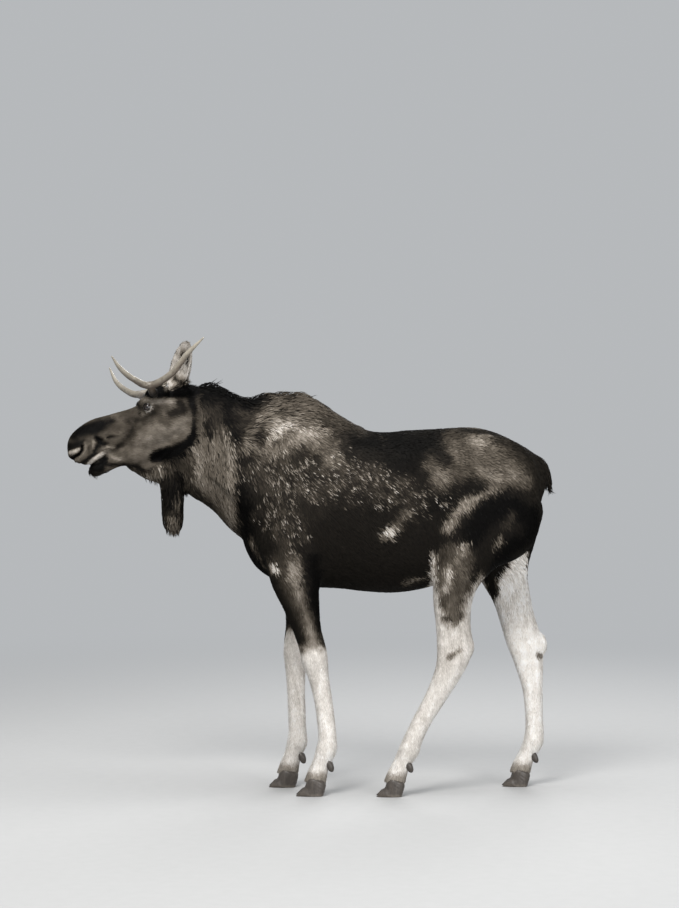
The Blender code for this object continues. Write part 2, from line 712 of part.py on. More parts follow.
# ---------------------------------------------------------------- parting
def loose_parts(obj):
    """The object's separate closed bodies, as objects, the largest first. obj is removed."""
    bm = bmesh.new()
    bm.from_mesh(obj.data)
    bm.verts.ensure_lookup_table()
    seen = set()
    found = []
    for start in bm.verts:
        if start.index in seen:
            continue
        group, ahead = [], [start]
        seen.add(start.index)
        while ahead:
            vert = ahead.pop()
            group.append(vert.index)
            for edge in vert.link_edges:
                other = edge.other_vert(vert)
                if other.index not in seen:
                    seen.add(other.index)
                    ahead.append(other)
        found.append(set(group))
    pieces = []
    for group in found:
        part = bm.copy()
        part.verts.ensure_lookup_table()
        away = [v for v in part.verts if v.index not in group]
        bmesh.ops.delete(part, geom=away, context="VERTS")
        pieces.append((part.calc_volume(), part))
    bm.free()
    pieces.sort(key=lambda pair: -pair[0])
    kept = []
    for volume, part in pieces:
        if volume < 1e-7:
            part.free()
            continue
        piece = new_object(obj.name, part)
        for slot in obj.data.materials:
            piece.data.materials.append(slot)
        kept.append(piece)
    bpy.data.objects.remove(obj)
    return kept


def keep_largest(obj):
    name = obj.name
    pieces = loose_parts(obj)
    for crumb in pieces[1:]:
        bpy.data.objects.remove(crumb)
    pieces[0].name = name
    return pieces[0]


def split(obj, point, normal, reach):
    """Parts obj by a thin plate through that point: the side behind the normal, then ahead."""
    normal = Vector(normal).normalized()
    bm = bmesh.new()
    bmesh.ops.create_cube(bm, size=1)
    turn = normal.to_track_quat("Z", "Y").to_matrix().to_4x4()
    size = Matrix.Diagonal((2 * reach, 2 * reach, GAP, 1))
    bm.transform(Matrix.Translation(point) @ turn @ size)
    boolean(obj, new_object("plate", bm), "DIFFERENCE")
    pieces = loose_parts(obj)[:2]
    pieces.sort(key=lambda piece: (centre_of(piece) - Vector(point)).dot(normal))
    return pieces


def centre_of(obj):
    return Vector(places_of(obj).mean(axis=0))


def part_line(obj, one, other, middle=0.0, half=0.6):
    """Parts obj along a line (y, z) seen from the side. The plate spans x about middle."""
    one, other = Vector(one), Vector(other)
    along = (other - one).normalized()
    bm = bmesh.new()
    bmesh.ops.create_cube(bm, size=1)
    centre = (one + other) / 2
    angle = math.atan2(along.y, along.x)
    place = Matrix.Translation((middle, centre.x, centre.y)) @ Matrix.Rotation(angle, 4, "X")
    bm.transform(place @ Matrix.Diagonal((2 * half, (other - one).length, GAP, 1)))
    boolean(obj, new_object("plate", bm), "DIFFERENCE")
    return loose_parts(obj)


def lowest(pieces):
    """Of two pieces, the one whose middle is lower, then the other."""
    return sorted(pieces[:2], key=lambda piece: centre_of(piece).z)


def rename(obj, name, finish):
    obj.name = name
    obj.data.name = name
    obj.data.materials.clear()
    obj.data.materials.append(material(finish))
    return obj


# Where each leg is parted from the trunk, and where its knee or hock is parted: (y, z) pairs.
LEG_CUTS = {
    "fore_left": [((-0.45, 0.832), (0.10, 0.832)), ((-0.40, 0.497), (0.20, 0.497))],
    "fore_right": [((-0.45, 0.832), (0.10, 0.832)), ((-0.40, 0.503), (0.10, 0.503))],
    "hind_left": [((0.335, 0.842), (0.78, 0.935)), ((0.20, 0.555), (0.70, 0.480))],
    "hind_right": [((0.455, 0.898), (0.95, 0.935)), ((0.60, 0.505), (1.00, 0.505))],
}


def part_body(flesh):
    """The fused flesh, parted into its named nodes."""
    rest, bell = part_line(flesh, (-0.600, 1.184), (-0.86, 1.326))[:2]
    rename(bell, "bell", "coat_brown")
    pieces = part_line(rest, (-0.512, 1.80), (-0.668, 1.19))[:2]
    front, body = sorted(pieces, key=lambda piece: centre_of(piece).y)
    frame = head_frame()
    hinge = frame @ Vector((0, 0.12, -0.030))
    corner = frame @ Vector((0, -0.52, -0.012))
    jaw, skull = lowest(part_line(front, (hinge.y, hinge.z), (corner.y, corner.z)))
    rename(jaw, "lower_jaw", "coat_brown")
    rename(skull, "head", "coat_brown")
    pieces = part_line(body, (-0.335, 1.80), (-0.447, 1.00))[:2]
    neck, trunk = sorted(pieces, key=lambda piece: centre_of(piece).y)
    rename(neck, "neck", "coat_brown")
    lower = {}
    for leg, (top, joint) in LEG_CUTS.items():
        side = leg_side(leg)
        trunk, limb = part_line(trunk, *top, middle=0.17 * side, half=0.168)[:2]
        shank, upper = lowest(part_line(limb, *joint, middle=0.17 * side, half=0.168))
        rename(upper, f"{leg}_upper", "coat_dark")
        lower[leg] = rename(shank, f"{leg}_lower", "coat_pale")
    rename(trunk, "trunk", "coat_dark")
    return skull, trunk, lower


def feet(lower):
    """Claws and dewclaws, each let into its foot."""
    for leg, shank in lower.items():
        side = leg_side(leg)
        x, y = FEET[leg]
        scale = 1.0 if leg.startswith("fore") else 0.93
        for inner, place in (("inner", -1), ("outer", 1)):
            across = side * (x + place * CLAW_SPREAD * scale)
            carve(shank, claw(f"hoof_{leg}_{inner}", across, y, scale))
            behind = dewclaw(f"dewclaw_{leg}_{inner}", side * (x + place * 0.021), y + 0.077, 0.122)
            carve(shank, behind)


def centre_all():
    """Moves everything so that its box stands centred over the origin, on the floor."""
    meshes = [obj for obj in bpy.data.objects if obj.type == "MESH"]
    corners = np.vstack([places_of(obj) for obj in meshes])
    low, high = corners.min(axis=0), corners.max(axis=0)
    shift = Vector((-(low[0] + high[0]) / 2, -(low[1] + high[1]) / 2, 0))
    for obj in meshes:
        obj.data.transform(Matrix.Translation(shift))
        obj.data.update()


def main():
    for obj in list(bpy.data.objects):
        bpy.data.objects.remove(obj)
    skull, trunk, lower = part_body(all_flesh())
    frame = head_frame()
    for side_name, side in SIDES.items():
        x, y, z = NOSTRIL_PLACE
        dent = mass((x * side, y, z), (0.012, 0.021, 0.009), 0.9, frame, side * 0.25, 2)
        boolean(skull, new_object("dent", dent), "DIFFERENCE")
        carve(skull, eye(f"eye_{side_name}", side))
        for piece in antler(side_name):
            if piece.name.endswith("beam"):
                carve(skull, piece)
        base, tip, opens = EARS[side_name]
        carve(skull, ear(f"ear_{side_name}", base, tip, opens))
    carve(trunk, tail())
    feet(lower)
    centre_all()


main()
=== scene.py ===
"""Looks of the life-size young bull moose: one skin, its coat of solid locks, eyes, antlers, hooves.

Metres, +Z up. Shapes are made in the working frame that the CAD was drawn in, where the animal
faces -Y and its left is +X, and SHIFT moves them to the finished frame. The skin is lofted from
the same stations as the CAD's flesh and lies under it by the depth of the coat.
"""

import math
from functools import cache

import bmesh
import bpy
import numpy as np
from mathutils import Matrix, Vector
from mathutils.bvhtree import BVHTree


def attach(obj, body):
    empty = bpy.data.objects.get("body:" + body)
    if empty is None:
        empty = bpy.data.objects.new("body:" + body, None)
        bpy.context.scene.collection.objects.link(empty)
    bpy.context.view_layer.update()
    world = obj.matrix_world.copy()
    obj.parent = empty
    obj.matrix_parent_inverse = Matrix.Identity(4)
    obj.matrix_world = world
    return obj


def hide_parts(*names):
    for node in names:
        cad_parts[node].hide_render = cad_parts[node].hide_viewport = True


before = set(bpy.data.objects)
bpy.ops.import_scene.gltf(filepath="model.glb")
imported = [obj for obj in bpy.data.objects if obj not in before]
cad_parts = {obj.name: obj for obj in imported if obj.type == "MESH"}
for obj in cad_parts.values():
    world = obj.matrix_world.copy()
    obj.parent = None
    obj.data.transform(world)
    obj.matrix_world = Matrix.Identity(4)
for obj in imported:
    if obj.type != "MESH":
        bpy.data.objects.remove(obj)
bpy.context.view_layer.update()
RANDOM = np.random.default_rng(20)

# ---------------------------------------------------------------- driving values
SHIFT = Vector((-0.007545, 0.120432, 0.0))  # from the working frame to the finished one

HEAD_ORIGIN = Vector((0.012, -0.592, 1.572))
HEAD_PITCH = math.radians(25)
HEAD_YAW = math.radians(8)
HEAD_ROLL = math.radians(3.0)
EYE_RADIUS = 0.0195
EYE_PLACE = (0.0665, -0.176, 0.107)  # head frame, left eye's centre
SIDES = {"left": 1, "right": -1}

SKIN_VOXEL = 0.0042
SKIN_TRIANGLES = 118_000  # before the face is made finer
LONG_LOCKS = 84_000
SHORT_LOCKS = 146_000
TRIANGLES_IN_A_PIECE = 195_000
LOCK_SCALE = 1.0

CAMERA_PLACE = Vector((12.0, 0.0, 1.73))
CAMERA_DIP = math.radians(1.565)
CAMERA_LENS = 114.66  # millimetres, on a 36 mm sensor
LIGHT_GAIN = 0.80  # brightness of a white surface that faces the camera


# ---------------------------------------------------------------- stage, light and camera
def linked(name, data):
    """A new object with that data, in the scene."""
    obj = bpy.data.objects.new(name, data)
    bpy.context.scene.collection.objects.link(obj)
    return obj


def area_light(name, place, aim, size, power, colour=(1, 1, 1)):
    """A round lamp at place that shines at aim."""
    data = bpy.data.lights.new(name, "AREA")
    data.shape = "DISK"
    data.size = size
    data.energy = power
    data.color = colour
    lamp = linked(name, data)
    lamp.location = place
    lamp.rotation_euler = (Vector(aim) - Vector(place)).to_track_quat("-Z", "Y").to_euler()


WALL_COLOUR = (0.94, 0.97, 1.0)
WALL_LIGHT = 0.50
FLOOR_GREYS = (0.365, 0.366, 0.365, 1), (0.395, 0.396, 0.395, 1)
FLOOR_RADIUS = 90
FLOOR_GAP = 0.0005  # from the soles down to the floor
FADE = (1.6, 7.5)  # how far from the middle the floor begins and ends its passing into the wall


def stage():
    """Pale floor, soft high light from the camera's side, and the camera."""
    mesh = bpy.data.meshes.new("floor")
    bm = bmesh.new()
    bmesh.ops.create_circle(bm, cap_ends=True, segments=96, radius=FLOOR_RADIUS)
    bm.to_mesh(mesh)
    bm.free()
    floor = linked("floor", mesh)
    floor.location.z = -FLOOR_GAP
    floor.data.materials.append(floor_material())

    world = bpy.data.worlds.new("studio")
    world.use_nodes = True
    background = world.node_tree.nodes["Background"]
    background.inputs["Color"].default_value = (*WALL_COLOUR, 1)
    background.inputs["Strength"].default_value = WALL_LIGHT
    bpy.context.scene.world = world
    area_light("key", (5.5, -1.6, 6.2), (0, 0, 1.1), 3.0, 600, (1.0, 0.985, 0.96))
    area_light("low fill", (7.5, 4.5, 2.0), (0, 0.3, 0.7), 3.0, 330)
    area_light("top", (0.5, 0.5, 6.5), (0, 0, 1.0), 4.0, 210)
    area_light("far side", (-6.0, 2.0, 4.5), (0, 0, 1.1), 3.5, 230)

    data = bpy.data.cameras.new("camera")
    data.lens = CAMERA_LENS
    data.sensor_width = 36
    camera = linked("camera", data)
    camera.location = CAMERA_PLACE + SHIFT
    camera.rotation_euler = (math.pi / 2 - CAMERA_DIP, 0, math.pi / 2)
    bpy.context.scene.camera = camera
    bpy.context.scene.view_settings.view_transform = "Standard"


def floor_material():
    """Pale matt floor that passes into the wall's own light far away, so that no edge is seen."""
    made, nodes, links, shader = nodes_for("studio_floor")
    shader.inputs["Roughness"].default_value = 0.85
    where = nodes.new("ShaderNodeTexCoord").outputs["Object"]
    speck = nodes.new("ShaderNodeTexNoise")
    speck.inputs["Scale"].default_value = 18
    speck.inputs["Detail"].default_value = 4
    links.new(where, speck.inputs["Vector"])
    tint = nodes.new("ShaderNodeMix")
    tint.data_type = "RGBA"
    tint.inputs["A"].default_value, tint.inputs["B"].default_value = FLOOR_GREYS
    links.new(speck.outputs["Fac"], tint.inputs["Factor"])
    links.new(tint.outputs["Result"], shader.inputs["Base Color"])
    distance = nodes.new("ShaderNodeVectorMath")
    distance.operation = "LENGTH"
    links.new(where, distance.inputs[0])
    far = nodes.new("ShaderNodeMapRange")
    far.interpolation_type = "SMOOTHSTEP"
    far.inputs["From Min"].default_value, far.inputs["From Max"].default_value = FADE
    links.new(distance.outputs["Value"], far.inputs["Value"])
    glow = nodes.new("ShaderNodeEmission")
    glow.inputs["Color"].default_value = (*WALL_COLOUR, 1)
    glow.inputs["Strength"].default_value = WALL_LIGHT
    mix = nodes.new("ShaderNodeMixShader")
    links.new(far.outputs["Result"], mix.inputs[0])
    links.new(shader.outputs["BSDF"], mix.inputs[1])
    links.new(glow.outputs["Emission"], mix.inputs[2])
    links.new(mix.outputs["Shader"], nodes["Material Output"].inputs["Surface"])
    return made


# ---------------------------------------------------------------- numbers and fields
def ramp(value, low, high):
    """0 below low, 1 above high, and a smooth rise between. low may be the greater."""
    t = np.clip((value - low) / (high - low), 0, 1)
    return t * t * (3 - 2 * t)


def hashed(cells, seed):
    """A number from 0 to 1 for each row of whole numbers."""
    mixed = np.full(len(cells), seed * 2654435761 % 2**32, np.uint64)
    for column, factor in zip(cells.T, (73856093, 19349663, 83492791), strict=False):
        mixed ^= (column.astype(np.int64) * factor).astype(np.uint64)
        mixed = (mixed * np.uint64(0x9E3779B97F4A7C15)) & np.uint64(2**64 - 1)
        mixed ^= mixed >> np.uint64(29)
    return (mixed >> np.uint64(11)).astype(float) / 2**53


def noise(places, size, seed):
    """Smooth noise from -1 to 1, its grain that size."""
    grid = places / size
    whole = np.floor(grid).astype(int)
    part = grid - whole
    part = part * part * (3 - 2 * part)
    total = np.zeros(len(places))
    for corner in range(8):
        step = np.array([corner & 1, corner >> 1 & 1, corner >> 2 & 1])
        share = np.prod(np.where(step, part, 1 - part), axis=1)
        total += share * hashed(whole + step, seed)
    return total * 2 - 1


def beyond(places, path):
    """How far each place lies outside a stroke of spots (..., radius); negative inside."""
    spots = np.array(path, float)
    if len(spots) == 1:
        spots = np.vstack([spots, spots + 1e-7])
    nearest = np.full(len(places), np.inf)
    for one, other in zip(spots, spots[1:], strict=False):
        run = other[:-1] - one[:-1]
        t = np.clip((places - one[:-1]) @ run / max(run @ run, 1e-14), 0, 1)
        away = np.linalg.norm(places - one[:-1] - t[:, None] * run, axis=1)
        nearest = np.minimum(nearest, away - (one[-1] + t * (other[-1] - one[-1])))
    return nearest


def paint(values, rows, places, where=1.0, wobble=None):
    """Blends each stroke's value into values, in turn. Strokes are (name, value, soft, mix, path)."""
    where = np.broadcast_to(where, len(places))
    for _, value, soft, mix, path in rows:
        spots = np.array(path, float)
        margin = spots[:, -1].max() + soft + 0.03
        low, high = spots[:, :-1].min(axis=0) - margin, spots[:, :-1].max(axis=0) + margin
        near = np.all((places > low) & (places < high), axis=1) & (where > 0.001)
        if not near.any():
            continue
        gap = beyond(places[near], path)
        if wobble is not None:
            gap = gap + wobble[near] * min(soft, 0.03)
        share = (1 - ramp(gap, -soft / 2, soft / 2)) * mix * where[near]
        if values.ndim == 1:
            values[near] += (value - values[near]) * share
        else:
            values[near] += (np.array(value) - values[near]) * share[:, None]
    return values


def away_from(places, spot):
    """Each place's distance from one spot."""
    return np.linalg.norm(places - np.array(spot), axis=1)


def unit(vectors):
    """Each row at length 1."""
    return vectors / np.maximum(np.linalg.norm(vectors, axis=1, keepdims=True), 1e-12)


def head_frame():
    """From the head's own frame, nose along -Y, to the working frame."""
    turn = Matrix.Rotation(HEAD_YAW, 4, "Z") @ Matrix.Rotation(HEAD_PITCH, 4, "X")
    return Matrix.Translation(HEAD_ORIGIN) @ turn @ Matrix.Rotation(-HEAD_ROLL, 4, "Y")


HEAD = np.array(head_frame())
HEAD_TURN = HEAD[:3, :3].T
HEAD_BACK = np.linalg.inv(HEAD)


def to_head(places):
    """Places in the working frame, as the head's frame has them."""
    return places @ HEAD_BACK[:3, :3].T + HEAD_BACK[:3, 3]


def from_head(places):
    """Places in the head's frame, as the working frame has them."""
    return places @ HEAD_TURN + HEAD[:3, 3]


def mirrored(row, side):
    """A row of numbers whose first is X, for the left (1) or the right (-1)."""
    return (row[0] * side, *row[1:])


def side_of(leg):
    """1 for the name of a left leg, -1 for a right one's."""
    return SIDES[leg.split("_")[1]]


# ---------------------------------------------------------------- building blocks
def smooth_rows(rows, count):
    """count rows along a Catmull-Rom curve through the given rows of numbers."""
    rows = np.array(rows, float)
    padded = np.vstack([2 * rows[0] - rows[1], rows, 2 * rows[-1] - rows[-2]])
    found = []
    for at in np.linspace(0, len(rows) - 1, count):
        i = min(int(at), len(rows) - 2)
        t = at - i
        p0, p1, p2, p3 = padded[i : i + 4]
        found.append(
            0.5
            * (
                2 * p1
                + (p2 - p0) * t
                + (2 * p0 - 5 * p1 + 4 * p2 - p3) * t**2
                + (3 * p1 - p0 - 3 * p2 + p3) * t**3
            )
        )
    return np.array(found)


def power(value, exponent):
    """A power that keeps the value's sign."""
    return math.copysign(abs(value) ** exponent, value)


def stack(bm, loops):
    """Skins a list of equal vertex loops into a closed tube."""
    sides = len(loops[0])
    for one, other in zip(loops, loops[1:], strict=False):
        for k in range(sides):
            bm.faces.new((one[k], one[(k + 1) % sides], other[(k + 1) % sides], other[k]))
    bm.faces.new(reversed(loops[0]))
    bm.faces.new(loops[-1])


def tube(rows, rings=40, sides=28, place=None):
    """A closed loft through stations (x, y, z, half width, ahead, behind, n ahead, n behind)."""
    stations = smooth_rows(rows, rings)
    tangents = np.gradient(stations[:, :3], axis=0)
    bm = bmesh.new()
    loops = []
    for tangent, station in zip(tangents, stations, strict=True):
        along = Vector(tangent).normalized()
        across = (Vector((1, 0, 0)) - along * along.x).normalized()
        ahead = across.cross(along)
        width, front, rear, n_front, n_rear = station[3:8]
        loop = []
        for k in range(sides):
            turn = 2 * math.pi * k / sides
            c, s = math.cos(turn), math.sin(turn)
            n = n_front if s > 0 else n_rear
            reach = front if s > 0 else rear
            offset = across * (width * power(c, 2 / n)) + ahead * (reach * power(s, 2 / n))
            loop.append(bm.verts.new(Vector(station[:3]) + offset))
        loops.append(loop)
    stack(bm, loops)
    if place:
        bm.transform(place)
    return bm


def mass(centre, radii, tilt=0.0, place=None, turn=0.0):
    """A rounded muscle or bone mass. tilt leans its top backwards, about X; turn is about Z."""
    bm = bmesh.new()
    bmesh.ops.create_icosphere(bm, subdivisions=4, radius=1)
    own = Matrix.Translation(centre) @ Matrix.Rotation(turn, 4, "Z")
    own = own @ Matrix.Rotation(-tilt, 4, "X") @ Matrix.Diagonal((*radii, 1))
    bm.transform(place @ own if place else own)
    return bm


def join(parts):
    """One bmesh of many, which it frees."""
    whole = bmesh.new()
    for bm in parts:
        mesh = bpy.data.meshes.new("joined")
        bm.to_mesh(mesh)
        bm.free()
        whole.from_mesh(mesh)
        bpy.data.meshes.remove(mesh)
    return whole


def new_object(name, bm):
    """Links a closed bmesh to the scene as a named object, its faces outward."""
    bmesh.ops.recalc_face_normals(bm, faces=bm.faces)
    if bm.calc_volume(signed=True) < 0:
        bmesh.ops.reverse_faces(bm, faces=bm.faces)
    mesh = bpy.data.meshes.new(name)
    bm.to_mesh(mesh)
    bm.free()
    return linked(name, mesh)


def apply(obj):
    """Replaces the object's mesh with the one that its modifiers make."""
    graph = bpy.context.evaluated_depsgraph_get()
    mesh = bpy.data.meshes.new_from_object(obj.evaluated_get(graph))
    obj.modifiers.clear()
    old = obj.data
    obj.data = mesh
    bpy.data.meshes.remove(old)
    return obj


def fuse(obj, voxel):
    """Adds the modifier that makes one surface of overlapping masses."""
    modifier = obj.modifiers.new("fuse", "REMESH")
    modifier.mode = "VOXEL"
    modifier.voxel_size = voxel


def vectors_of(items, key):
    """A mesh's vectors of one kind, a row for each."""
    values = np.empty(len(items) * 3, np.float32)
    items.foreach_get(key, values)
    return values.reshape(-1, 3).astype(float)


def places_of(obj):
    """Where the object's points are."""
    return vectors_of(obj.data.vertices, "co")


def normals_of(obj):
    """The surface's normals at the object's points."""
    return vectors_of(obj.data.vertex_normals, "vector")


def move_points(obj, places):
    """Puts the object's points at those places."""
    obj.data.vertices.foreach_set("co", places.astype(np.float32).ravel())
    obj.data.update()


def weighted_group(obj, name, weights):
    """Gives the object a vertex group with a weight for each point."""
    group = obj.vertex_groups.new(name=name)
    for index, weight in enumerate(weights.tolist()):
        group.add([index], weight, "REPLACE")
    return group


def settle(obj):
    """Moves a finished piece to the finished frame, and lets it ride on the one body."""
    obj.data.transform(Matrix.Translation(SHIFT))
    obj.data.update()
    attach(obj, "root")
    return obj


def colour_attribute(obj, colours):
    """Linear colours, one for each point, for the materials to read."""
    layer = obj.data.color_attributes.new("tone", "FLOAT_COLOR", "POINT")
    rgba = np.ones((len(colours), 4), np.float32)
    rgba[:, :3] = colours
    layer.data.foreach_set("color", rgba.ravel())


def dress(obj, colours, material):
    """Colours a finished piece, smooths its shading and settles it."""
    colour_attribute(obj, colours)
    obj.data.materials.append(material)
    obj.data.shade_smooth()
    settle(obj)


# ---------------------------------------------------------------- stations of the flesh
def trunk_flesh():
    """Barrel, hump, loin and croup, from the breast to the buttocks."""
    barrel = tube(
        [
            (0, -0.385, 1.090, 0.085, 0.1900, 0.1000, 2.0, 2.0),
            (0, -0.340, 1.120, 0.150, 0.4400, 0.1950, 1.8, 2.0),
            (0, -0.270, 1.195, 0.188, 0.4650, 0.3200, 1.45, 2.0),
            (0, -0.190, 1.190, 0.205, 0.4790, 0.3420, 1.4, 2.1),
            (0, -0.100, 1.185, 0.222, 0.4390, 0.3390, 1.5, 2.2),
            (0, 0.000, 1.180, 0.236, 0.3730, 0.3370, 1.75, 2.2),
            (0, 0.105, 1.175, 0.246, 0.3240, 0.3420, 2.0, 2.2),
            (0, 0.230, 1.172, 0.247, 0.3225, 0.3455, 2.0, 2.2),
            (0, 0.345, 1.182, 0.236, 0.3280, 0.3270, 2.0, 2.2),
            (0, 0.450, 1.215, 0.213, 0.3070, 0.2850, 2.0, 2.1),
            (0, 0.585, 1.260, 0.193, 0.2590, 0.2400, 2.1, 2.0),
            (0, 0.700, 1.265, 0.166, 0.1970, 0.2050, 2.1, 2.0),
            (0, 0.790, 1.250, 0.125, 0.1410, 0.1600, 2.0, 2.0),
            (0, 0.843, 1.235, 0.068, 0.0800, 0.0950, 2.0, 2.0),
        ],
        rings=60,
        sides=40,
    )
    breast = mass((0, -0.290, 1.020), (0.120, 0.095, 0.150), math.radians(-30))
    return [barrel, breast]


def neck_flesh():
    """Deep narrow neck with its mane along the top, from behind the jaw into the shoulders."""
    return [
        tube(
            [
                (0.012, -0.690, 1.540, 0.070, 0.130, 0.160, 1.9, 1.9),
                (0.012, -0.640, 1.515, 0.096, 0.222, 0.235, 1.8, 1.9),
                (0.010, -0.568, 1.470, 0.110, 0.226, 0.235, 1.7, 1.9),
                (0.006, -0.477, 1.415, 0.122, 0.245, 0.232, 1.7, 1.9),
                (0.002, -0.380, 1.340, 0.145, 0.270, 0.225, 1.7, 2.0),
                (0.0, -0.290, 1.270, 0.165, 0.320, 0.245, 1.6, 2.0),
                (0.0, -0.200, 1.230, 0.160, 0.330, 0.250, 1.6, 2.0),
            ],
            sides=36,
        )
    ]


def bell_flesh():
    """The long haired dewlap that hangs from the throat, and the throat's fold above it."""
    hanging = tube(
        [
            (0.020, -0.688, 1.050, 0.016, 0.016, 0.016, 2, 2),
            (0.020, -0.688, 1.062, 0.032, 0.034, 0.032, 2, 2),
            (0.020, -0.690, 1.110, 0.041, 0.044, 0.043, 2, 2),
            (0.020, -0.692, 1.190, 0.042, 0.046, 0.046, 2, 2),
            (0.019, -0.694, 1.270, 0.044, 0.050, 0.056, 2, 2),
            (0.016, -0.695, 1.340, 0.052, 0.068, 0.070, 2, 2),
            (0.014, -0.690, 1.420, 0.060, 0.080, 0.090, 2, 2),
        ],
        rings=24,
    )
    fold = mass((0.026, -0.778, 1.348), (0.044, 0.130, 0.054), math.radians(20))
    return [hanging, fold]


def head_flesh():
    """Skull, cheeks, long overhanging muzzle and lower jaw, in the head's frame."""
    skull = head_frame()
    upper = tube(
        [
            (0, -0.540, 0.036, 0.024, 0.020, 0.022, 2.2, 2.0),
            (0, -0.531, 0.042, 0.042, 0.046, 0.042, 2.4, 2.2),
            (0, -0.505, 0.052, 0.052, 0.076, 0.058, 2.4, 2.4),
            (0, -0.470, 0.060, 0.056, 0.090, 0.066, 2.4, 2.6),
            (0, -0.400, 0.070, 0.056, 0.091, 0.072, 2.3, 2.6),
            (0, -0.320, 0.072, 0.055, 0.074, 0.080, 2.3, 2.4),
            (0, -0.255, 0.052, 0.062, 0.087, 0.112, 2.4, 2.4),
            (0, -0.205, 0.035, 0.076, 0.109, 0.120, 2.6, 2.4),
            (0, -0.150, 0.030, 0.084, 0.124, 0.120, 2.8, 2.2),
            (0, -0.090, 0.028, 0.085, 0.120, 0.112, 2.6, 2.2),
            (0, -0.030, 0.030, 0.080, 0.110, 0.105, 2.3, 2.2),
            (0, 0.030, 0.030, 0.066, 0.092, 0.080, 2.0, 2.0),
            (0, 0.060, 0.030, 0.035, 0.060, 0.045, 2.0, 2.0),
        ],
        rings=56,
        sides=36,
        place=skull,
    )
    jaw = tube(
        [
            (0, -0.508, -0.026, 0.022, 0.010, 0.012, 2.2, 2.0),
            (0, -0.498, -0.031, 0.034, 0.018, 0.024, 2.4, 2.0),
            (0, -0.468, -0.032, 0.039, 0.025, 0.034, 2.6, 2.0),
            (0, -0.420, -0.028, 0.036, 0.028, 0.036, 2.4, 2.0),
            (0, -0.365, -0.026, 0.038, 0.043, 0.044, 2.2, 2.0),
            (0, -0.300, -0.036, 0.044, 0.060, 0.062, 2.2, 2.0),
            (0, -0.220, -0.044, 0.056, 0.065, 0.066, 2.2, 2.0),
            (0, -0.120, -0.040, 0.068, 0.065, 0.062, 2.2, 2.0),
            (0, -0.030, -0.030, 0.070, 0.060, 0.062, 2.2, 2.0),
            (0, 0.030, -0.020, 0.050, 0.040, 0.050, 2.0, 2.0),
        ],
        rings=44,
        sides=32,
        place=skull,
    )
    parts = [upper, jaw]
    for side in SIDES.values():
        parts += [
            mass((0.056 * side, -0.052, 0.000), (0.038, 0.090, 0.092), 0.35, skull),
            mass((0.050 * side, -0.175, -0.005), (0.032, 0.085, 0.050), 0.1, skull),
            mass((0.066 * side, -0.170, 0.133), (0.027, 0.048, 0.017), -0.15, skull),
            mass((0.046 * side, -0.500, 0.044), (0.018, 0.046, 0.040), 0.5, skull),
            mass((0.062 * side, -0.098, 0.128), (0.030, 0.034, 0.028), 0, skull),
            mass((0.072 * side, -0.016, 0.108), (0.034, 0.036, 0.034), 0, skull),
            mass((0.076 * side, -0.118, 0.143), (0.036, 0.048, 0.037), 0, skull),
        ]
    return parts


def foreleg_flesh(side, foot):
    """A foreleg from the shoulder to the pastern, with its shoulder's masses."""
    leg = tube([mirrored(row, side) for row in foot["rows"]], rings=72, sides=24)
    shoulder = mass((0.100 * side, -0.175, 1.290), (0.092, 0.145, 0.260), math.radians(12))
    arm = mass((0.138 * side, -0.170, 1.040), (0.078, 0.118, 0.155), math.radians(-22))
    point = mass((0.115 * side, -0.285, 1.030), (0.060, 0.050, 0.085), math.radians(-15))
    return [leg, shoulder, arm, point]


def hindleg_flesh(side, foot):
    """A hind leg from the haunch to the pastern, with the point of its hock."""
    leg = tube([mirrored(row, side) for row in foot["rows"]], rings=80, sides=24)
    haunch = mass((0.110 * side, 0.610, 1.285), (0.092, 0.215, 0.200), math.radians(-12))
    x, y, z = foot["hock_point"]
    heel = mass((x * side, y, z), (0.023, 0.024, 0.050), math.radians(foot["hock_tilt"]))
    return [leg, haunch, heel]


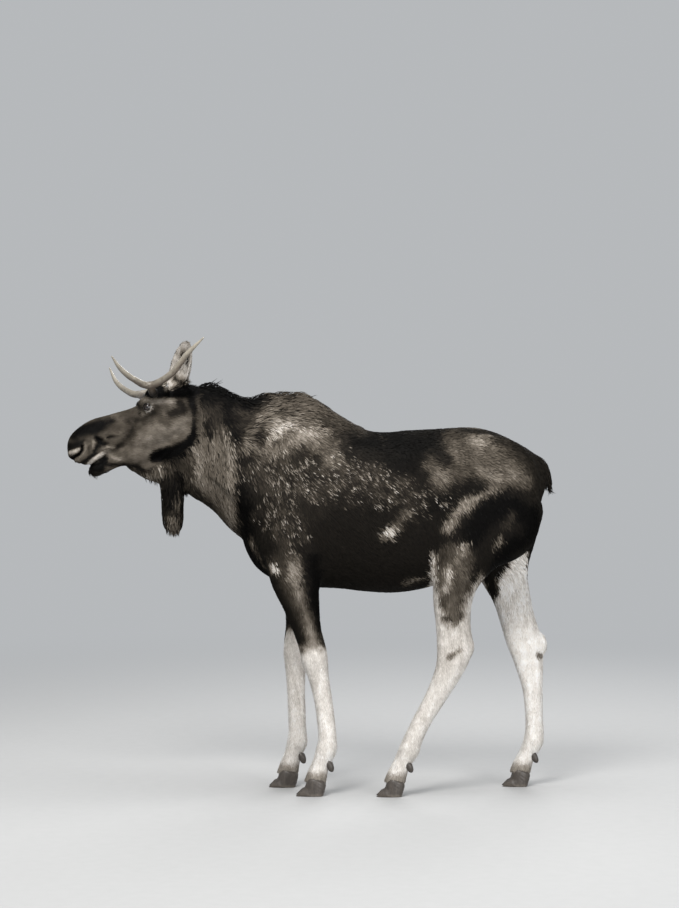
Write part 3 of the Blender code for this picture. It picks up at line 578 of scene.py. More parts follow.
# Stations of the four legs, from the pastern up, as tube() takes them, with x for the left, and
# the middle and lean, in degrees, of the point of each hock.
LEGS = {
    "fore_left": {
        "rows": [
            (0.130, -0.104, 0.050, 0.040, 0.042, 0.040, 2.2, 2.2),
            (0.130, -0.094, 0.085, 0.042, 0.040, 0.044, 2.2, 2.2),
            (0.130, -0.076, 0.135, 0.037, 0.036, 0.038, 2.2, 2.0),
            (0.130, -0.057, 0.190, 0.041, 0.040, 0.048, 2.2, 2.0),
            (0.130, -0.052, 0.240, 0.037, 0.036, 0.041, 2.2, 2.0),
            (0.129, -0.058, 0.318, 0.033, 0.037, 0.040, 2.2, 2.0),
            (0.128, -0.069, 0.400, 0.033, 0.038, 0.040, 2.2, 2.0),
            (0.127, -0.086, 0.488, 0.038, 0.044, 0.044, 2.2, 2.0),
            (0.126, -0.101, 0.555, 0.049, 0.055, 0.055, 2.4, 2.2),
            (0.126, -0.112, 0.615, 0.048, 0.057, 0.055, 2.3, 2.2),
            (0.127, -0.132, 0.682, 0.050, 0.060, 0.060, 2.1, 2.1),
            (0.130, -0.157, 0.789, 0.062, 0.080, 0.080, 2.0, 2.0),
            (0.132, -0.180, 0.887, 0.075, 0.102, 0.104, 2.0, 2.0),
            (0.128, -0.190, 1.000, 0.088, 0.120, 0.128, 2.0, 2.0),
            (0.118, -0.185, 1.150, 0.092, 0.125, 0.130, 2.0, 2.0),
            (0.105, -0.170, 1.290, 0.080, 0.110, 0.110, 2.0, 2.0),
        ],
    },
    "fore_right": {
        "rows": [
            (0.130, -0.222, 0.050, 0.040, 0.042, 0.040, 2.2, 2.2),
            (0.130, -0.213, 0.085, 0.042, 0.040, 0.044, 2.2, 2.2),
            (0.130, -0.197, 0.135, 0.037, 0.036, 0.038, 2.2, 2.0),
            (0.130, -0.181, 0.190, 0.041, 0.040, 0.048, 2.2, 2.0),
            (0.130, -0.179, 0.240, 0.037, 0.036, 0.041, 2.2, 2.0),
            (0.129, -0.181, 0.318, 0.033, 0.037, 0.040, 2.2, 2.0),
            (0.128, -0.183, 0.400, 0.033, 0.038, 0.040, 2.2, 2.0),
            (0.127, -0.184, 0.488, 0.038, 0.044, 0.044, 2.2, 2.0),
            (0.126, -0.181, 0.560, 0.049, 0.055, 0.055, 2.4, 2.2),
            (0.126, -0.175, 0.620, 0.048, 0.057, 0.055, 2.3, 2.2),
            (0.127, -0.166, 0.700, 0.050, 0.062, 0.062, 2.1, 2.1),
            (0.130, -0.164, 0.800, 0.062, 0.080, 0.080, 2.0, 2.0),
            (0.132, -0.175, 0.900, 0.075, 0.102, 0.104, 2.0, 2.0),
            (0.128, -0.185, 1.010, 0.088, 0.120, 0.128, 2.0, 2.0),
            (0.118, -0.185, 1.150, 0.092, 0.125, 0.130, 2.0, 2.0),
            (0.105, -0.170, 1.290, 0.080, 0.110, 0.110, 2.0, 2.0),
        ],
    },
    "hind_left": {
        "rows": [
            (0.150, 0.222, 0.050, 0.039, 0.041, 0.040, 2.2, 2.2),
            (0.150, 0.234, 0.085, 0.040, 0.040, 0.043, 2.2, 2.2),
            (0.150, 0.256, 0.135, 0.036, 0.036, 0.038, 2.2, 2.0),
            (0.150, 0.284, 0.192, 0.041, 0.040, 0.048, 2.2, 2.0),
            (0.150, 0.304, 0.240, 0.037, 0.038, 0.042, 2.2, 2.0),
            (0.149, 0.340, 0.312, 0.034, 0.039, 0.041, 2.2, 2.0),
            (0.148, 0.396, 0.408, 0.035, 0.045, 0.045, 2.2, 2.0),
            (0.147, 0.446, 0.505, 0.041, 0.058, 0.056, 2.2, 2.0),
            (0.146, 0.472, 0.582, 0.046, 0.074, 0.070, 2.2, 1.9),
            (0.146, 0.474, 0.646, 0.044, 0.077, 0.074, 2.2, 1.7),
            (0.147, 0.468, 0.719, 0.048, 0.078, 0.076, 2.1, 1.7),
            (0.149, 0.466, 0.810, 0.060, 0.087, 0.086, 2.0, 1.9),
            (0.150, 0.484, 0.900, 0.076, 0.106, 0.100, 2.0, 2.0),
            (0.147, 0.530, 1.015, 0.092, 0.145, 0.146, 2.0, 2.0),
            (0.138, 0.605, 1.140, 0.100, 0.180, 0.222, 2.0, 2.0),
            (0.120, 0.640, 1.290, 0.095, 0.180, 0.180, 2.0, 2.0),
        ],
        "hock_point": (0.146, 0.532, 0.615),
        "hock_tilt": 4,
    },
    "hind_right": {
        "rows": [
            (0.150, 0.756, 0.050, 0.039, 0.041, 0.040, 2.2, 2.2),
            (0.150, 0.768, 0.085, 0.040, 0.040, 0.043, 2.2, 2.2),
            (0.150, 0.790, 0.135, 0.036, 0.036, 0.038, 2.2, 2.0),
            (0.150, 0.814, 0.190, 0.041, 0.040, 0.048, 2.2, 2.0),
            (0.150, 0.820, 0.240, 0.037, 0.038, 0.042, 2.2, 2.0),
            (0.149, 0.818, 0.317, 0.034, 0.038, 0.040, 2.2, 2.0),
            (0.148, 0.813, 0.410, 0.035, 0.044, 0.045, 2.2, 2.0),
            (0.147, 0.802, 0.500, 0.041, 0.060, 0.058, 2.2, 2.0),
            (0.146, 0.792, 0.574, 0.046, 0.076, 0.066, 2.2, 1.9),
            (0.146, 0.772, 0.640, 0.044, 0.080, 0.074, 2.2, 1.7),
            (0.147, 0.748, 0.721, 0.048, 0.082, 0.076, 2.1, 1.7),
            (0.149, 0.722, 0.810, 0.060, 0.088, 0.084, 2.0, 1.9),
            (0.150, 0.694, 0.890, 0.076, 0.105, 0.105, 2.0, 2.0),
            (0.147, 0.665, 1.000, 0.092, 0.140, 0.166, 2.0, 2.0),
            (0.138, 0.640, 1.140, 0.100, 0.180, 0.222, 2.0, 2.0),
            (0.120, 0.640, 1.290, 0.095, 0.180, 0.180, 2.0, 2.0),
        ],
        "hock_point": (0.146, 0.851, 0.604),
        "hock_tilt": -10,
    },
}


# Where each foot's sole is centred, x for the left, y.
FEET = {
    "fore_left": (0.130, -0.116),
    "fore_right": (0.130, -0.234),
    "hind_left": (0.150, 0.210),
    "hind_right": (0.150, 0.744),
}

# Each ear's root, its tip, and the way that its hollow faces.
EARS = {
    "left": ((0.100, -0.686, 1.668), (0.175, -0.622, 1.868), (0.80, -0.60, -0.05)),
    "right": ((-0.075, -0.702, 1.655), (-0.165, -0.640, 1.838), (-0.80, -0.60, -0.05)),
}

# Each antler's crescent, from its front tip through the fork to its rear tip.
ANTLERS = {
    "left": [
        (0.330, -0.920, 1.807),
        (0.300, -0.885, 1.755),
        (0.262, -0.836, 1.7135),
        (0.215, -0.772, 1.688),
        (0.262, -0.685, 1.733),
        (0.315, -0.615, 1.815),
        (0.360, -0.545, 1.882),
    ],
    "right": [
        (-0.330, -0.981, 1.762),
        (-0.295, -0.948, 1.700),
        (-0.255, -0.900, 1.662),
        (-0.215, -0.850, 1.648),
        (-0.262, -0.775, 1.672),
        (-0.310, -0.705, 1.730),
        (-0.345, -0.655, 1.790),
    ],
}
BEAM_RADIUS = 0.0165
TINE_RADIUS = 0.0135
TINE_TIP_RADIUS = 0.004

CLAW_HALF_WIDTH = 0.0235
CLAW_SPREAD = 0.0255  # of each claw's middle from the foot's
CLAW_HEIGHT = 0.060


# ---------------------------------------------------------------- markings
CM = 0.01
MM = 0.001


def strokes(scale, rows):
    """Rows (name, value, soft, mix, path) with soft and the path's spots brought to metres."""
    return [
        (name, value, soft * scale, mix, [tuple(scale * number for number in spot) for spot in path])
        for name, value, soft, mix, path in rows
    ]


# The markings are strokes: name, grey level 0-255, width of the soft edge, strength and a path of
# spots. Among them are painted highlights, glints and painted shadows, which are light and shade and
# not the coat's own colour. A spot is (back, up, radius), seen from the side: centimetres on the body,
# and millimetres in the head's own frame on the head. Both sides of the animal carry them.
BODY_MARKS_AND_PAINTED_LIGHT = strokes(CM, [
    ("neck side", 72, 7, 1,
     [(-55, 160, 4), (-55, 146, 8.5), (-52, 132, 10), (-49, 122, 6), (-46, 114, 3)]),
    ("upper neck", 22, 6, 0.8, [(-56, 161, 3.5), (-52, 158, 3.5), (-52, 153, 2.5)]),
    ("neck hollow", 2, 4, 0.85, [(-55, 154, 1.5), (-54, 150, 1)]),
    ("front of the neck", 100, 6, 0.8, [(-59, 142, 2.5), (-60, 135, 3), (-57, 130, 2)]),
    ("neck middle", 78, 6, 0.6, [(-51, 131, 2.5), (-49, 125, 2.5), (-47, 120, 1.5)]),
    ("rear neck streak", 110, 4, 0.95,
     [(-48, 152, 0.6), (-45, 146, 1.6), (-43, 139, 2), (-44, 115, 2), (-42, 108, 1)]),
    ("rear of the bell root", 4, 3, 1,
     [(-63, 139, 1.2), (-65, 133, 1.6), (-64, 125, 1.6), (-62, 123, 1.2)]),
    ("chest", 2, 5, 1,
     [(-41, 142, 1), (-41, 130, 2.2), (-40, 117, 3.2), (-39, 106, 3.2), (-36, 97, 3), (-30, 89, 2.5)]),
    ("shoulder", 24, 7, 1, [(-32, 134, 8), (-20, 130, 10.5), (-4, 134, 10), (-22, 114, 8)]),
    ("barrel", 22, 10, 0.8, [(6, 134, 6), (18, 128, 6), (30, 124, 5)]),
    # Painted shadow: the dark crease between the neck and the shoulder, from the mane down.
    ("nape band", 2, 3, 1,
     [(-47, 163, 3), (-46, 158, 2), (-45, 153, 1.6), (-43, 147, 1.2), (-41, 142, 1)]),
    ("below the nape", 38, 5, 0.9, [(-42, 159, 3), (-37, 157, 2), (-41, 153, 2)]),
    ("front of the hump", 88, 5, 0.95,
     [(-40, 145, 2), (-36, 151, 2.5), (-32, 156, 3), (-28, 160, 2.5)]),
    ("hump", 65, 5, 0.95, [(-25, 160, 3.5), (-16, 160, 4.5), (-8, 155, 4), (-1, 151, 2.5)]),
    ("hump crest", 60, 4, 0.9,
     [(-32, 164, 1), (-27, 166, 1.6), (-20, 166, 1.6), (-14, 163, 2.5), (9, 148, 1.2)]),
    ("hump dark patch", 16, 5, 0.8, [(-9, 155, 1.6), (-4, 151, 1.6), (2, 149, 2)]),
    ("mane", 2, 4, 1,
     [(-74, 166, 3), (-67, 166, 4), (-61, 166, 5), (-54, 166, 4), (-48, 164, 3.5), (-35, 162, 2)]),
    # Partly pale hair, and partly a painted highlight where the top of the shoulder faces the light above.
    ("shoulder cap", 138, 8, 1,
     [(-30, 146, 2), (-28, 150, 3), (-23, 152, 3.2), (-18, 152, 3.2), (-9, 148, 2)]),
    ("under the cap", 106, 8, 0.85, [(-26, 144, 1.6), (-20, 146, 2), (-14, 146, 3), (-9, 144, 2.5)]),
    ("behind the cap", 68, 7, 0.85, [(-6, 145, 3.2), (-2, 146, 2.5), (-4, 140, 3.2)]),
    ("before the cap", 95, 6, 0.8, [(-37, 144, 2), (-32, 142, 2.5), (-27, 141, 2)]),
    ("saddle", 4, 7, 1, [(6, 146, 2), (18, 145, 3.7), (31, 144, 5.3), (39, 146, 3.2)]),
    ("below the saddle", 5, 7, 0.8, [(21, 137, 3.5), (28, 138, 3.5)]),
    ("hip", 95, 7, 0.95, [(37, 137, 2.5), (40, 133, 3.5), (42, 130, 3)]),
    ("rump", 65, 9, 0.95, [(46, 144, 4), (53, 142, 6), (64, 137, 7), (73, 133, 4.5)]),
    ("croup front", 36, 6, 0.7, [(46, 150, 2), (50, 144, 2)]),
    ("hip to rump", 70, 7, 0.9, [(46, 142, 2.5), (48, 137, 3), (47, 131, 2), (52, 134, 2.5)]),
    ("rump streak", 112, 6, 0.9, [(53, 147, 1.2), (57, 146, 1.8), (62, 143, 1.2)]),
    ("rump lower", 100, 7, 0.8, [(56, 133, 2.5), (64, 131, 3), (70, 133, 2)]),
    ("croup edge", 26, 8, 0.95, [(70, 143, 1.2), (77, 138, 2.5), (81, 131, 3.3), (82, 122, 3.7)]),
    ("pin bone", 72, 5, 0.85, [(74, 131, 2), (76, 128, 1.6)]),
    ("flank before the thigh", 7, 8, 0.9, [(36, 120, 3.7), (46, 125, 3.3), (56, 128, 2)]),
    # Painted highlight along the fold in front of the thigh, where it faces the light.
    ("thigh fold", 105, 4, 1,
     [(44, 112, 2.7), (47, 117, 2.7), (52, 121, 2), (57, 124, 1.6), (62, 127, 1.2)]),
    ("thigh", 2, 5, 1,
     [(54, 110, 5), (61, 119, 5), (69, 120, 5), (77, 116, 5), (78, 108, 3), (67, 103, 4), (63, 91, 3)]),
    ("thigh glints", 50, 5, 0.8, [(68, 112, 1.2), (70, 116, 1)]),
    ("thigh seam", 130, 3, 0.85, [(65, 108, 0.7), (63, 103, 0.7)]),
    ("stifle fold", 8, 5, 1, [(43, 106, 2), (46, 103, 2.9), (45, 97, 1.6)]),
    ("belly glint", 215, 4, 1, [(17, 108, 1.4), (19, 109.5, 1.8)]),
    ("belly glint trail", 130, 5, 0.85, [(21, 112, 1.2), (25, 115, 1.8), (28, 118, 1.2)]),
    ("forearm", 40, 7, 1, [(-22, 97, 5.7), (-20, 85, 5.7), (-14, 73, 4)]),
    ("forearm front", 16, 5, 1, [(-28, 89, 2), (-23, 80, 2), (-18, 70, 1.6), (-16, 64, 1.2)]),
    ("forearm rear", 3, 5, 1, [(-11, 99, 2.5), (-11, 82, 2.9), (-9, 71, 1.6)]),
    ("forearm streak", 112, 5, 0.95,
     [(-20, 97, 1.6), (-19, 90, 2.9), (-16, 81, 2), (-13, 72, 1.6), (-11, 64, 2.5)]),
])
# These small painted glints are on the flanks only, not round the front and the belly.
FLANK_GLINTS = strokes(CM, [
    ("belly edge hairs", 125, 2, 0.7, [(25, 88, 0.3), (35, 90, 0.6)]),
    ("before the elbow", 185, 3, 0.9, [(-30, 94, 1.1), (-26, 94, 0.9)]),
    ("breast streak", 150, 3, 0.8, [(-37, 106, 0.6), (-33, 98, 0.7)]),
])
# How far behind the left hind leg the right one stands, by height: (z, y).
STANCE = [
    (0.50, 0.356),
    (0.58, 0.320),
    (0.72, 0.280),
    (0.81, 0.256),
    (0.89, 0.208),
    (1.00, 0.135),
    (1.14, 0.035),
]
# The outer sides of the hind legs, placed for the left one.
GASKIN_MARKS = strokes(CM, [
    ("gaskin ground", 50, 6, 1, [(46, 97, 8), (45, 88, 8), (43, 80, 5)]),
    ("gaskin", 68, 5, 1, [(49, 101, 3.5), (50, 91, 3.5), (46, 83, 2.5), (45, 76, 1)]),
    ("gaskin middle", 88, 4, 0.9, [(43, 93, 2.2), (43, 87, 2.2)]),
    ("gaskin front", 178, 3, 0.95,
     [(38, 102, 1), (38, 95, 1.5), (38, 87, 2), (39, 79, 2.5), (40, 72, 3)]),
    ("gaskin light", 150, 3, 0.9, [(50, 104, 0.8), (46, 97, 1), (43, 90, 1), (42, 82, 0.8)]),
    ("gaskin fold", 30, 3, 0.7, [(51, 99, 1), (49, 92, 1), (47, 85, 0.8)]),
    ("gaskin front fold", 26, 3, 0.7, [(43, 101, 1), (41, 95, 0.8), (41, 88, 0.6)]),
    ("gaskin tip", 76, 3, 0.85, [(45, 83, 1.6), (47, 76, 1.2), (47, 70, 0.6)]),
    ("gaskin rear", 178, 4, 0.9, [(57, 93, 1.2), (55, 85, 2), (54, 78, 3)]),
    ("hock mark", 60, 2, 0.9, [(45, 58, 0.8), (49, 61, 0.8)]),
    ("hock dot", 220, 2, 0.7, [(53, 72, 0.6)]),
])
# What shows of the right hind leg's inner side, behind the left one.
INNER_HIND_MARKS = strokes(CM, [
    ("front of the gaskin", 12, 2, 1, [(64, 96, 5.5), (62.5, 89.5, 4.2), (64, 83, 2.2), (64, 79, 0.6)]),
    ("fringe of the thigh", 12, 2, 1, [(79.5, 106, 3.5), (80.5, 97, 2.4), (81, 90, 1.2)]),
    ("hock mark", 60, 1, 0.9, [(83.5, 56, 0.6), (84, 55.5, 0.7)]),
])
THROAT_MARKS = strokes(CM, [
    ("throat fold", 88, 4, 0.95, [(-76, 136, 2), (-73, 131, 2.5), (-71, 134, 1.7)]),
    ("throat fold light", 140, 2, 0.8, [(-75, 135, 0.8), (-73, 132, 0.8)]),
    ("jaw underside", 120, 3, 0.8, [(-82, 133, 1.7), (-78, 131, 1.7)]),
    ("bell", 19, 2.5, 1, [(-70, 130, 5), (-69, 109, 5)]),
    ("bell dark", 3, 3, 0.9, [(-71, 126, 1.2), (-69, 127, 2), (-70, 121, 1)]),
    ("bell lower", 88, 4, 0.8, [(-69, 115, 1.7), (-69, 110, 1.7)]),
    ("bell light streak", 110, 2, 0.7, [(-67, 125, 0.6), (-67, 119, 0.6)]),
    ("bell rear edge", 2, 2, 0.9, [(-66, 134, 1.2), (-65, 123, 1), (-65, 113, 0.8)]),
])
HEAD_MARKS_AND_PAINTED_LIGHT = strokes(MM, [
    ("cheek", 85, 50, 1, [(-265, -19, 45), (-188, -9, 58), (-96, 11, 50), (-84, -40, 25)]),
    ("jaw", 73, 32, 0.9, [(-330, -24, 25), (-284, -60, 25), (-242, -48, 25)]),
    ("forehead", 95, 32, 0.9, [(-155, 139, 12), (-106, 98, 12), (-66, 75, 16)]),
    ("temple", 10, 30, 0.85, [(-55, 69, 16), (-49, 35, 16), (-108, 44, 14)]),
    ("cheek mottle", 42, 30, 0.7, [(-167, 54, 14), (-137, 21, 14)]),
    ("bridge", 48, 34, 0.95, [(-309, 120, 16), (-265, 127, 25), (-217, 141, 21)]),
    ("side of the nose", 48, 34, 0.95, [(-400, 99, 16), (-360, 89, 21), (-315, 78, 25)]),
    ("before the cheek", 20, 30, 0.95,
     [(-278, 88, 16), (-267, 64, 12), (-299, 34, 15), (-340, 16, 15), (-374, 10, 10)]),
    ("under the eye", 18, 26, 0.9, [(-262, 94, 12), (-228, 69, 12), (-188, 77, 10), (-155, 80, 12)]),
    ("muzzle top", 2, 30, 1,
     [(-510, 124, 17), (-479, 132, 27), (-431, 128, 30), (-375, 124, 22), (-335, 118, 14)]),
    # Painted highlight along the top of the muzzle, where it faces the light above.
    ("muzzle rim", 38, 22, 0.7, [(-445, 157, 4), (-383, 155, 6), (-333, 145, 6)]),
    ("nose front", 4, 28, 0.95, [(-531, 98, 16), (-507, 91, 16), (-475, 94, 12)]),
    ("upper lip side", 56, 20, 0.95, [(-465, 76, 16), (-483, 48, 16), (-522, 30, 12), (-446, 58, 12)]),
    ("lip fold", 75, 9, 0.9, [(-473, 88, 4), (-481, 60, 5), (-508, 41, 5), (-539, 33, 4)]),
    ("second lip fold", 115, 11, 0.7, [(-441, 78, 5), (-452, 47, 6)]),
    ("lip hollow", 19, 12, 0.8, [(-467, 63, 3), (-475, 44, 5)]),
    # Painted highlight: the wet shine over the fold above the nostril.
    ("alar fold", 138, 12, 1, [(-544, 72, 7), (-522, 70, 7), (-507, 73, 3)]),
    # The nostril's opening is painted near black: painted shade inside it.
    ("nostril", 1, 8, 1, [(-489, 78, 5), (-497, 63, 5), (-516, 53, 6), (-539, 52, 8), (-553, 51, 11)]),
    ("mouth corner hollow", 1, 14, 1, [(-425, 88, 7), (-413, 62, 16), (-399, 42, 9)]),
    ("upper lip rear", 2, 14, 0.95, [(-431, 51, 12), (-451, 37, 10)]),
    ("upper lip edge", 2, 11, 0.95, [(-451, 28, 6), (-491, 20, 6), (-530, 13, 6), (-554, 31, 4)]),
    ("mouth corner", 93, 16, 0.95, [(-427, 31, 4), (-399, 33, 8), (-379, 17, 6)]),
    ("chin", 3, 16, 1, [(-494, -24, 21), (-464, -29, 25), (-428, -10, 14)]),
    ("behind the chin", 108, 19, 0.9, [(-405, 11, 8), (-399, -15, 8), (-374, -40, 6)]),
    ("lower lip", 150, 10, 1, [(-512, -5, 4), (-474, 7, 8), (-445, 12, 9), (-421, 16, 7)]),
    ("jaw edge", 10, 13, 0.95, [(-428, -37, 7), (-375, -60, 7), (-326, -90, 11), (-299, -130, 12)]),
    ("slit surround", 57, 16, 0.7, [(-401, 59, 8), (-367, 43, 8)]),
    ("slit", 4, 10, 1, [(-382, 64, 4), (-367, 63, 5), (-351, 54, 2)]),
    ("before the eye", 8, 13, 0.95, [(-208, 141, 5), (-216, 118, 7), (-223, 89, 4)]),
    ("light before the eye", 120, 13, 0.8, [(-207, 95, 6), (-221, 84, 4)]),
    ("brow", 95, 14, 0.9, [(-193, 143, 5), (-168, 138, 6), (-149, 122, 4)]),
    ("brow light", 118, 18, 0.85, [(-153, 113, 5), (-124, 106, 7), (-78, 89, 8)]),
    ("behind the eye", 55, 18, 0.85, [(-152, 96, 7), (-149, 73, 8)]),
    # Painted shadow: the jaw's shadow on the neck, behind the cheek and under it.
    ("jaw band", 1, 15, 1,
     [(-48, -48, 12), (-66, -80, 17), (-95, -99, 22), (-146, -104, 27), (-238, -90, 26)]),
    ("behind the jaw", 4, 24, 1, [(-2, 67, 21), (-12, 26, 17), (-27, -12, 14), (-46, -49, 11)]),
    ("poll", 1, 16, 1,
     [(-155, 165, 25), (-117, 151, 29), (-67, 132, 30), (-18, 109, 31), (18, 99, 33)]),
])
# Where the coat is grizzled: strokes of the share of light-tipped tufts.
GRIZZLE = strokes(CM, [
    ("shoulder", 0.36, 9, 1,
     [(-32, 134, 6.5), (-20, 129, 10), (-6, 133, 9), (6, 134, 6.5), (18, 128, 5), (29, 125, 3.5)]),
    ("upper arm", 0.28, 8, 1, [(-29, 118, 6.5), (-21, 112, 7.5), (-20, 103, 4)]),
    ("barrel side", 0.27, 12, 1, [(-4, 123, 3.3), (12, 124, 3.3), (27, 122, 3.3), (37, 122, 2.9)]),
    ("flank", 0.18, 9, 1, [(27, 117, 2.5), (41, 124, 3.3), (51, 127, 2)]),
    ("under the cap", 0.20, 5, 1, [(-22, 142, 3.3), (-8, 142, 3.3)]),
    ("saddle", 0.06, 6, 1, [(16, 146, 3.3), (31, 142, 5), (41, 146, 2.5)]),
])
# The face's folds: strokes of the push out of the skin, in millimetres.
HEAD_SCULPT = strokes(MM, [
    ("cheek edge", -7, 33, 1,
     [(-12, 54, 12), (-33, -9, 12), (-72, -73, 12), (-127, -93, 12), (-256, -96, 12)]),
    ("cheek", 6, 50, 1, [(-173, 2, 33), (-112, -4, 33)]),
    ("before the cheek", -6, 33, 1, [(-263, 71, 8), (-303, 36, 12), (-352, 9, 8)]),
    ("facial crest", 4, 21, 1, [(-191, 60, 6), (-257, 55, 6), (-318, 61, 6)]),
    ("under the eye", -3, 21, 1, [(-255, 90, 4), (-208, 73, 4), (-162, 74, 4)]),
    ("brow", 4, 16, 1, [(-204, 139, 6), (-174, 146, 8), (-142, 126, 6)]),
    ("nasal hollow", -3, 29, 1, [(-312, 94, 8), (-374, 96, 8)]),
    ("mouth line", -7, 11, 1,
     [(-520, -3, 2), (-477, 11, 2), (-440, 23, 2), (-414, 31, 2.5), (-391, 32, 2.5)]),
    ("mouth corner hollow", -9, 13, 1, [(-421, 82, 4), (-413, 62, 10), (-398, 44, 5)]),
    ("upper lip rear", -4, 12, 1, [(-430, 54, 8), (-446, 39, 7)]),
    ("mouth corner fold", 4, 10, 1, [(-419, 29, 2.5), (-395, 31, 4), (-381, 13, 3)]),
    ("lower lip", 3, 9, 1, [(-502, -2, 4), (-466, 6, 6), (-432, 10, 6)]),
    ("under the lower lip", -4, 10, 1, [(-463, -16, 3), (-428, -10, 4), (-409, 8, 3)]),
    ("behind the chin", -5, 16, 1, [(-412, -13, 5), (-428, -37, 5)]),
    ("slit", -7, 8, 1, [(-386, 66, 2), (-367, 63, 4), (-349, 53, 1)]),
    ("slit brow", 3, 10, 1, [(-386, 81, 2.5), (-358, 73, 3), (-342, 58, 2)]),
    ("alar fold", 5, 11, 1, [(-546, 71, 5), (-522, 70, 6), (-502, 73, 3)]),
    ("nostril", -16, 8, 1, [(-490, 78, 4), (-496, 63, 5), (-517, 52, 6), (-544, 50, 7), (-559, 48, 8)]),
    ("nostril rim", 3, 7, 1, [(-471, 83, 2.5), (-482, 56, 3), (-509, 40, 3), (-539, 33, 3)]),
    ("lip hollow", -3, 8, 1, [(-463, 65, 2), (-473, 43, 3)]),
    ("second lip fold", 3, 10, 1, [(-438, 76, 3), (-452, 47, 4)]),
    ("upper lip edge", -3, 8, 1, [(-455, 30, 2.5), (-494, 19, 2.5), (-530, 14, 2.5)]),
    ("muzzle side", 3, 25, 1, [(-488, 123, 12), (-437, 117, 12)]),
])


# How the coat lies, as strokes in metres: (name, direction (x, y, z), soft edge, strength, path).
SIDE_FLOW = (0, 0.76, -0.65)  # where no stroke lies
LEG_FLOW = (0, 0.10, -0.99)
FACE_FLOW = (0, 0.95, -0.30)  # in the head's frame, as HEAD_FLOW
BODY_FLOW = [
    ("neck", (0, 0.28, -0.96), 0.10, 1,
     [(-0.56, 1.56, 0.08), (-0.50, 1.36, 0.13), (-0.44, 1.20, 0.08)]),
    ("nape", (0, 0.93, -0.36), 0.05, 1, [(-0.64, 1.70, 0.04), (-0.40, 1.64, 0.03)]),
    ("hump front", (0, 0.86, 0.30), 0.08, 1, [(-0.38, 1.50, 0.03), (-0.32, 1.60, 0.05)]),
    ("hump top", (0, 1.0, -0.06), 0.07, 1, [(-0.25, 1.62, 0.05), (-0.13, 1.60, 0.05)]),
    ("hump rear", (0, 0.90, -0.44), 0.08, 1, [(-0.08, 1.55, 0.06), (0.05, 1.48, 0.05)]),
    ("shoulder", (0, 0.45, -0.89), 0.16, 1,
     [(-0.26, 1.40, 0.08), (-0.28, 1.28, 0.13), (-0.2, 1.08, 0.13)]),
    ("side", (0, 0.70, -0.71), 0.16, 1, [(0.10, 1.28, 0.13), (0.36, 1.24, 0.13)]),
    ("back", (0, 0.97, -0.24), 0.07, 1, [(0.10, 1.47, 0.04), (0.50, 1.50, 0.04)]),
    ("rump", (0, 0.93, -0.37), 0.12, 1, [(0.46, 1.40, 0.10), (0.66, 1.38, 0.10)]),
    ("buttock", (0, 0.45, -0.89), 0.10, 1, [(0.82, 1.32, 0.06), (0.80, 1.05, 0.08)]),
    ("thigh", (0, 0.38, -0.92), 0.14, 1, [(0.60, 1.16, 0.12), (0.56, 1.0, 0.10)]),
    ("fold", (0, 0.15, -0.99), 0.08, 1, [(0.42, 1.10, 0.05), (0.40, 0.95, 0.05)]),
    ("belly", (0, 0.92, -0.38), 0.10, 1, [(0.0, 0.90, 0.07), (0.32, 0.90, 0.07)]),
    ("chest", (0, 0.42, -0.90), 0.10, 1, [(-0.43, 1.12, 0.06), (-0.32, 0.94, 0.06)]),
]
HEAD_FLOW = [
    ("bridge", (0, 0.99, 0.10), 0.06, 1, [(-0.48, 0.12, 0.02), (-0.20, 0.16, 0.03)]),
    ("cheek", (0, 0.80, -0.60), 0.10, 1, [(-0.14, 0.02, 0.06), (-0.06, 0.02, 0.06)]),
    ("jaw", (0, 0.94, -0.34), 0.06, 1, [(-0.36, -0.05, 0.03), (-0.10, -0.09, 0.03)]),
    ("upper lip", (0, 0.62, -0.78), 0.04, 1, [(-0.53, 0.0, 0.02), (-0.44, 0.01, 0.02)]),
    ("chin", (0, 0.93, -0.37), 0.04, 1, [(-0.49, -0.06, 0.03), (-0.44, -0.06, 0.03)]),
    ("poll", (0, 0.98, -0.20), 0.06, 1, [(-0.08, 0.15, 0.03), (0.04, 0.13, 0.04)]),
]

EYE_OPEN = (0.80, 0.58)  # half the opening's length and height, in eye radii
EYE_OPEN_RISE = 0.04  # how far the opening's middle lies over the eye's, in eye radii
LID = 0.11  # the lids' thickness, in eye radii
LID_RIM_RADIUS = 0.0017

# A lock's length, width and height, as strokes in metres whose spots are (x, y, z, radius).
LOCK_SIZES = [
    ("neck", (0.034, 0.0044, 0.010), 0.10, 1, [(0, -0.60, 1.50, 0.14), (0, -0.42, 1.36, 0.22)]),
    ("chest", (0.036, 0.0050, 0.012), 0.08, 1, [(0, -0.42, 1.12, 0.06), (0, -0.34, 0.93, 0.07)]),
    ("rump", (0.027, 0.0044, 0.0075), 0.14, 1, [(0, 0.48, 1.36, 0.16), (0, 0.72, 1.30, 0.18)]),
    ("thigh", (0.024, 0.0044, 0.0070), 0.12, 1, [(0, 0.60, 1.05, 0.20)]),
    ("back", (0.034, 0.0048, 0.011), 0.10, 1, [(0, 0.06, 1.50, 0.05), (0, 0.50, 1.52, 0.05)]),
    ("hump sides", (0.042, 0.0048, 0.013), 0.10, 1, [(0, -0.32, 1.55, 0.10), (0, -0.05, 1.50, 0.10)]),
    ("hump crest", (0.052, 0.0052, 0.019), 0.08, 1,
     [(0, -0.34, 1.62, 0.03), (0, -0.24, 1.665, 0.04), (0, -0.12, 1.64, 0.04), (0, 0.04, 1.52, 0.02)]),
    ("mane", (0.062, 0.0054, 0.023), 0.07, 1,
     [(0.01, -0.64, 1.70, 0.03), (0.005, -0.50, 1.68, 0.04), (0, -0.40, 1.63, 0.03)]),
]
SIDE_LOCK = (0.025, 0.0046, 0.0062)
LEG_LOCK = (0.013, 0.0030, 0.0034)
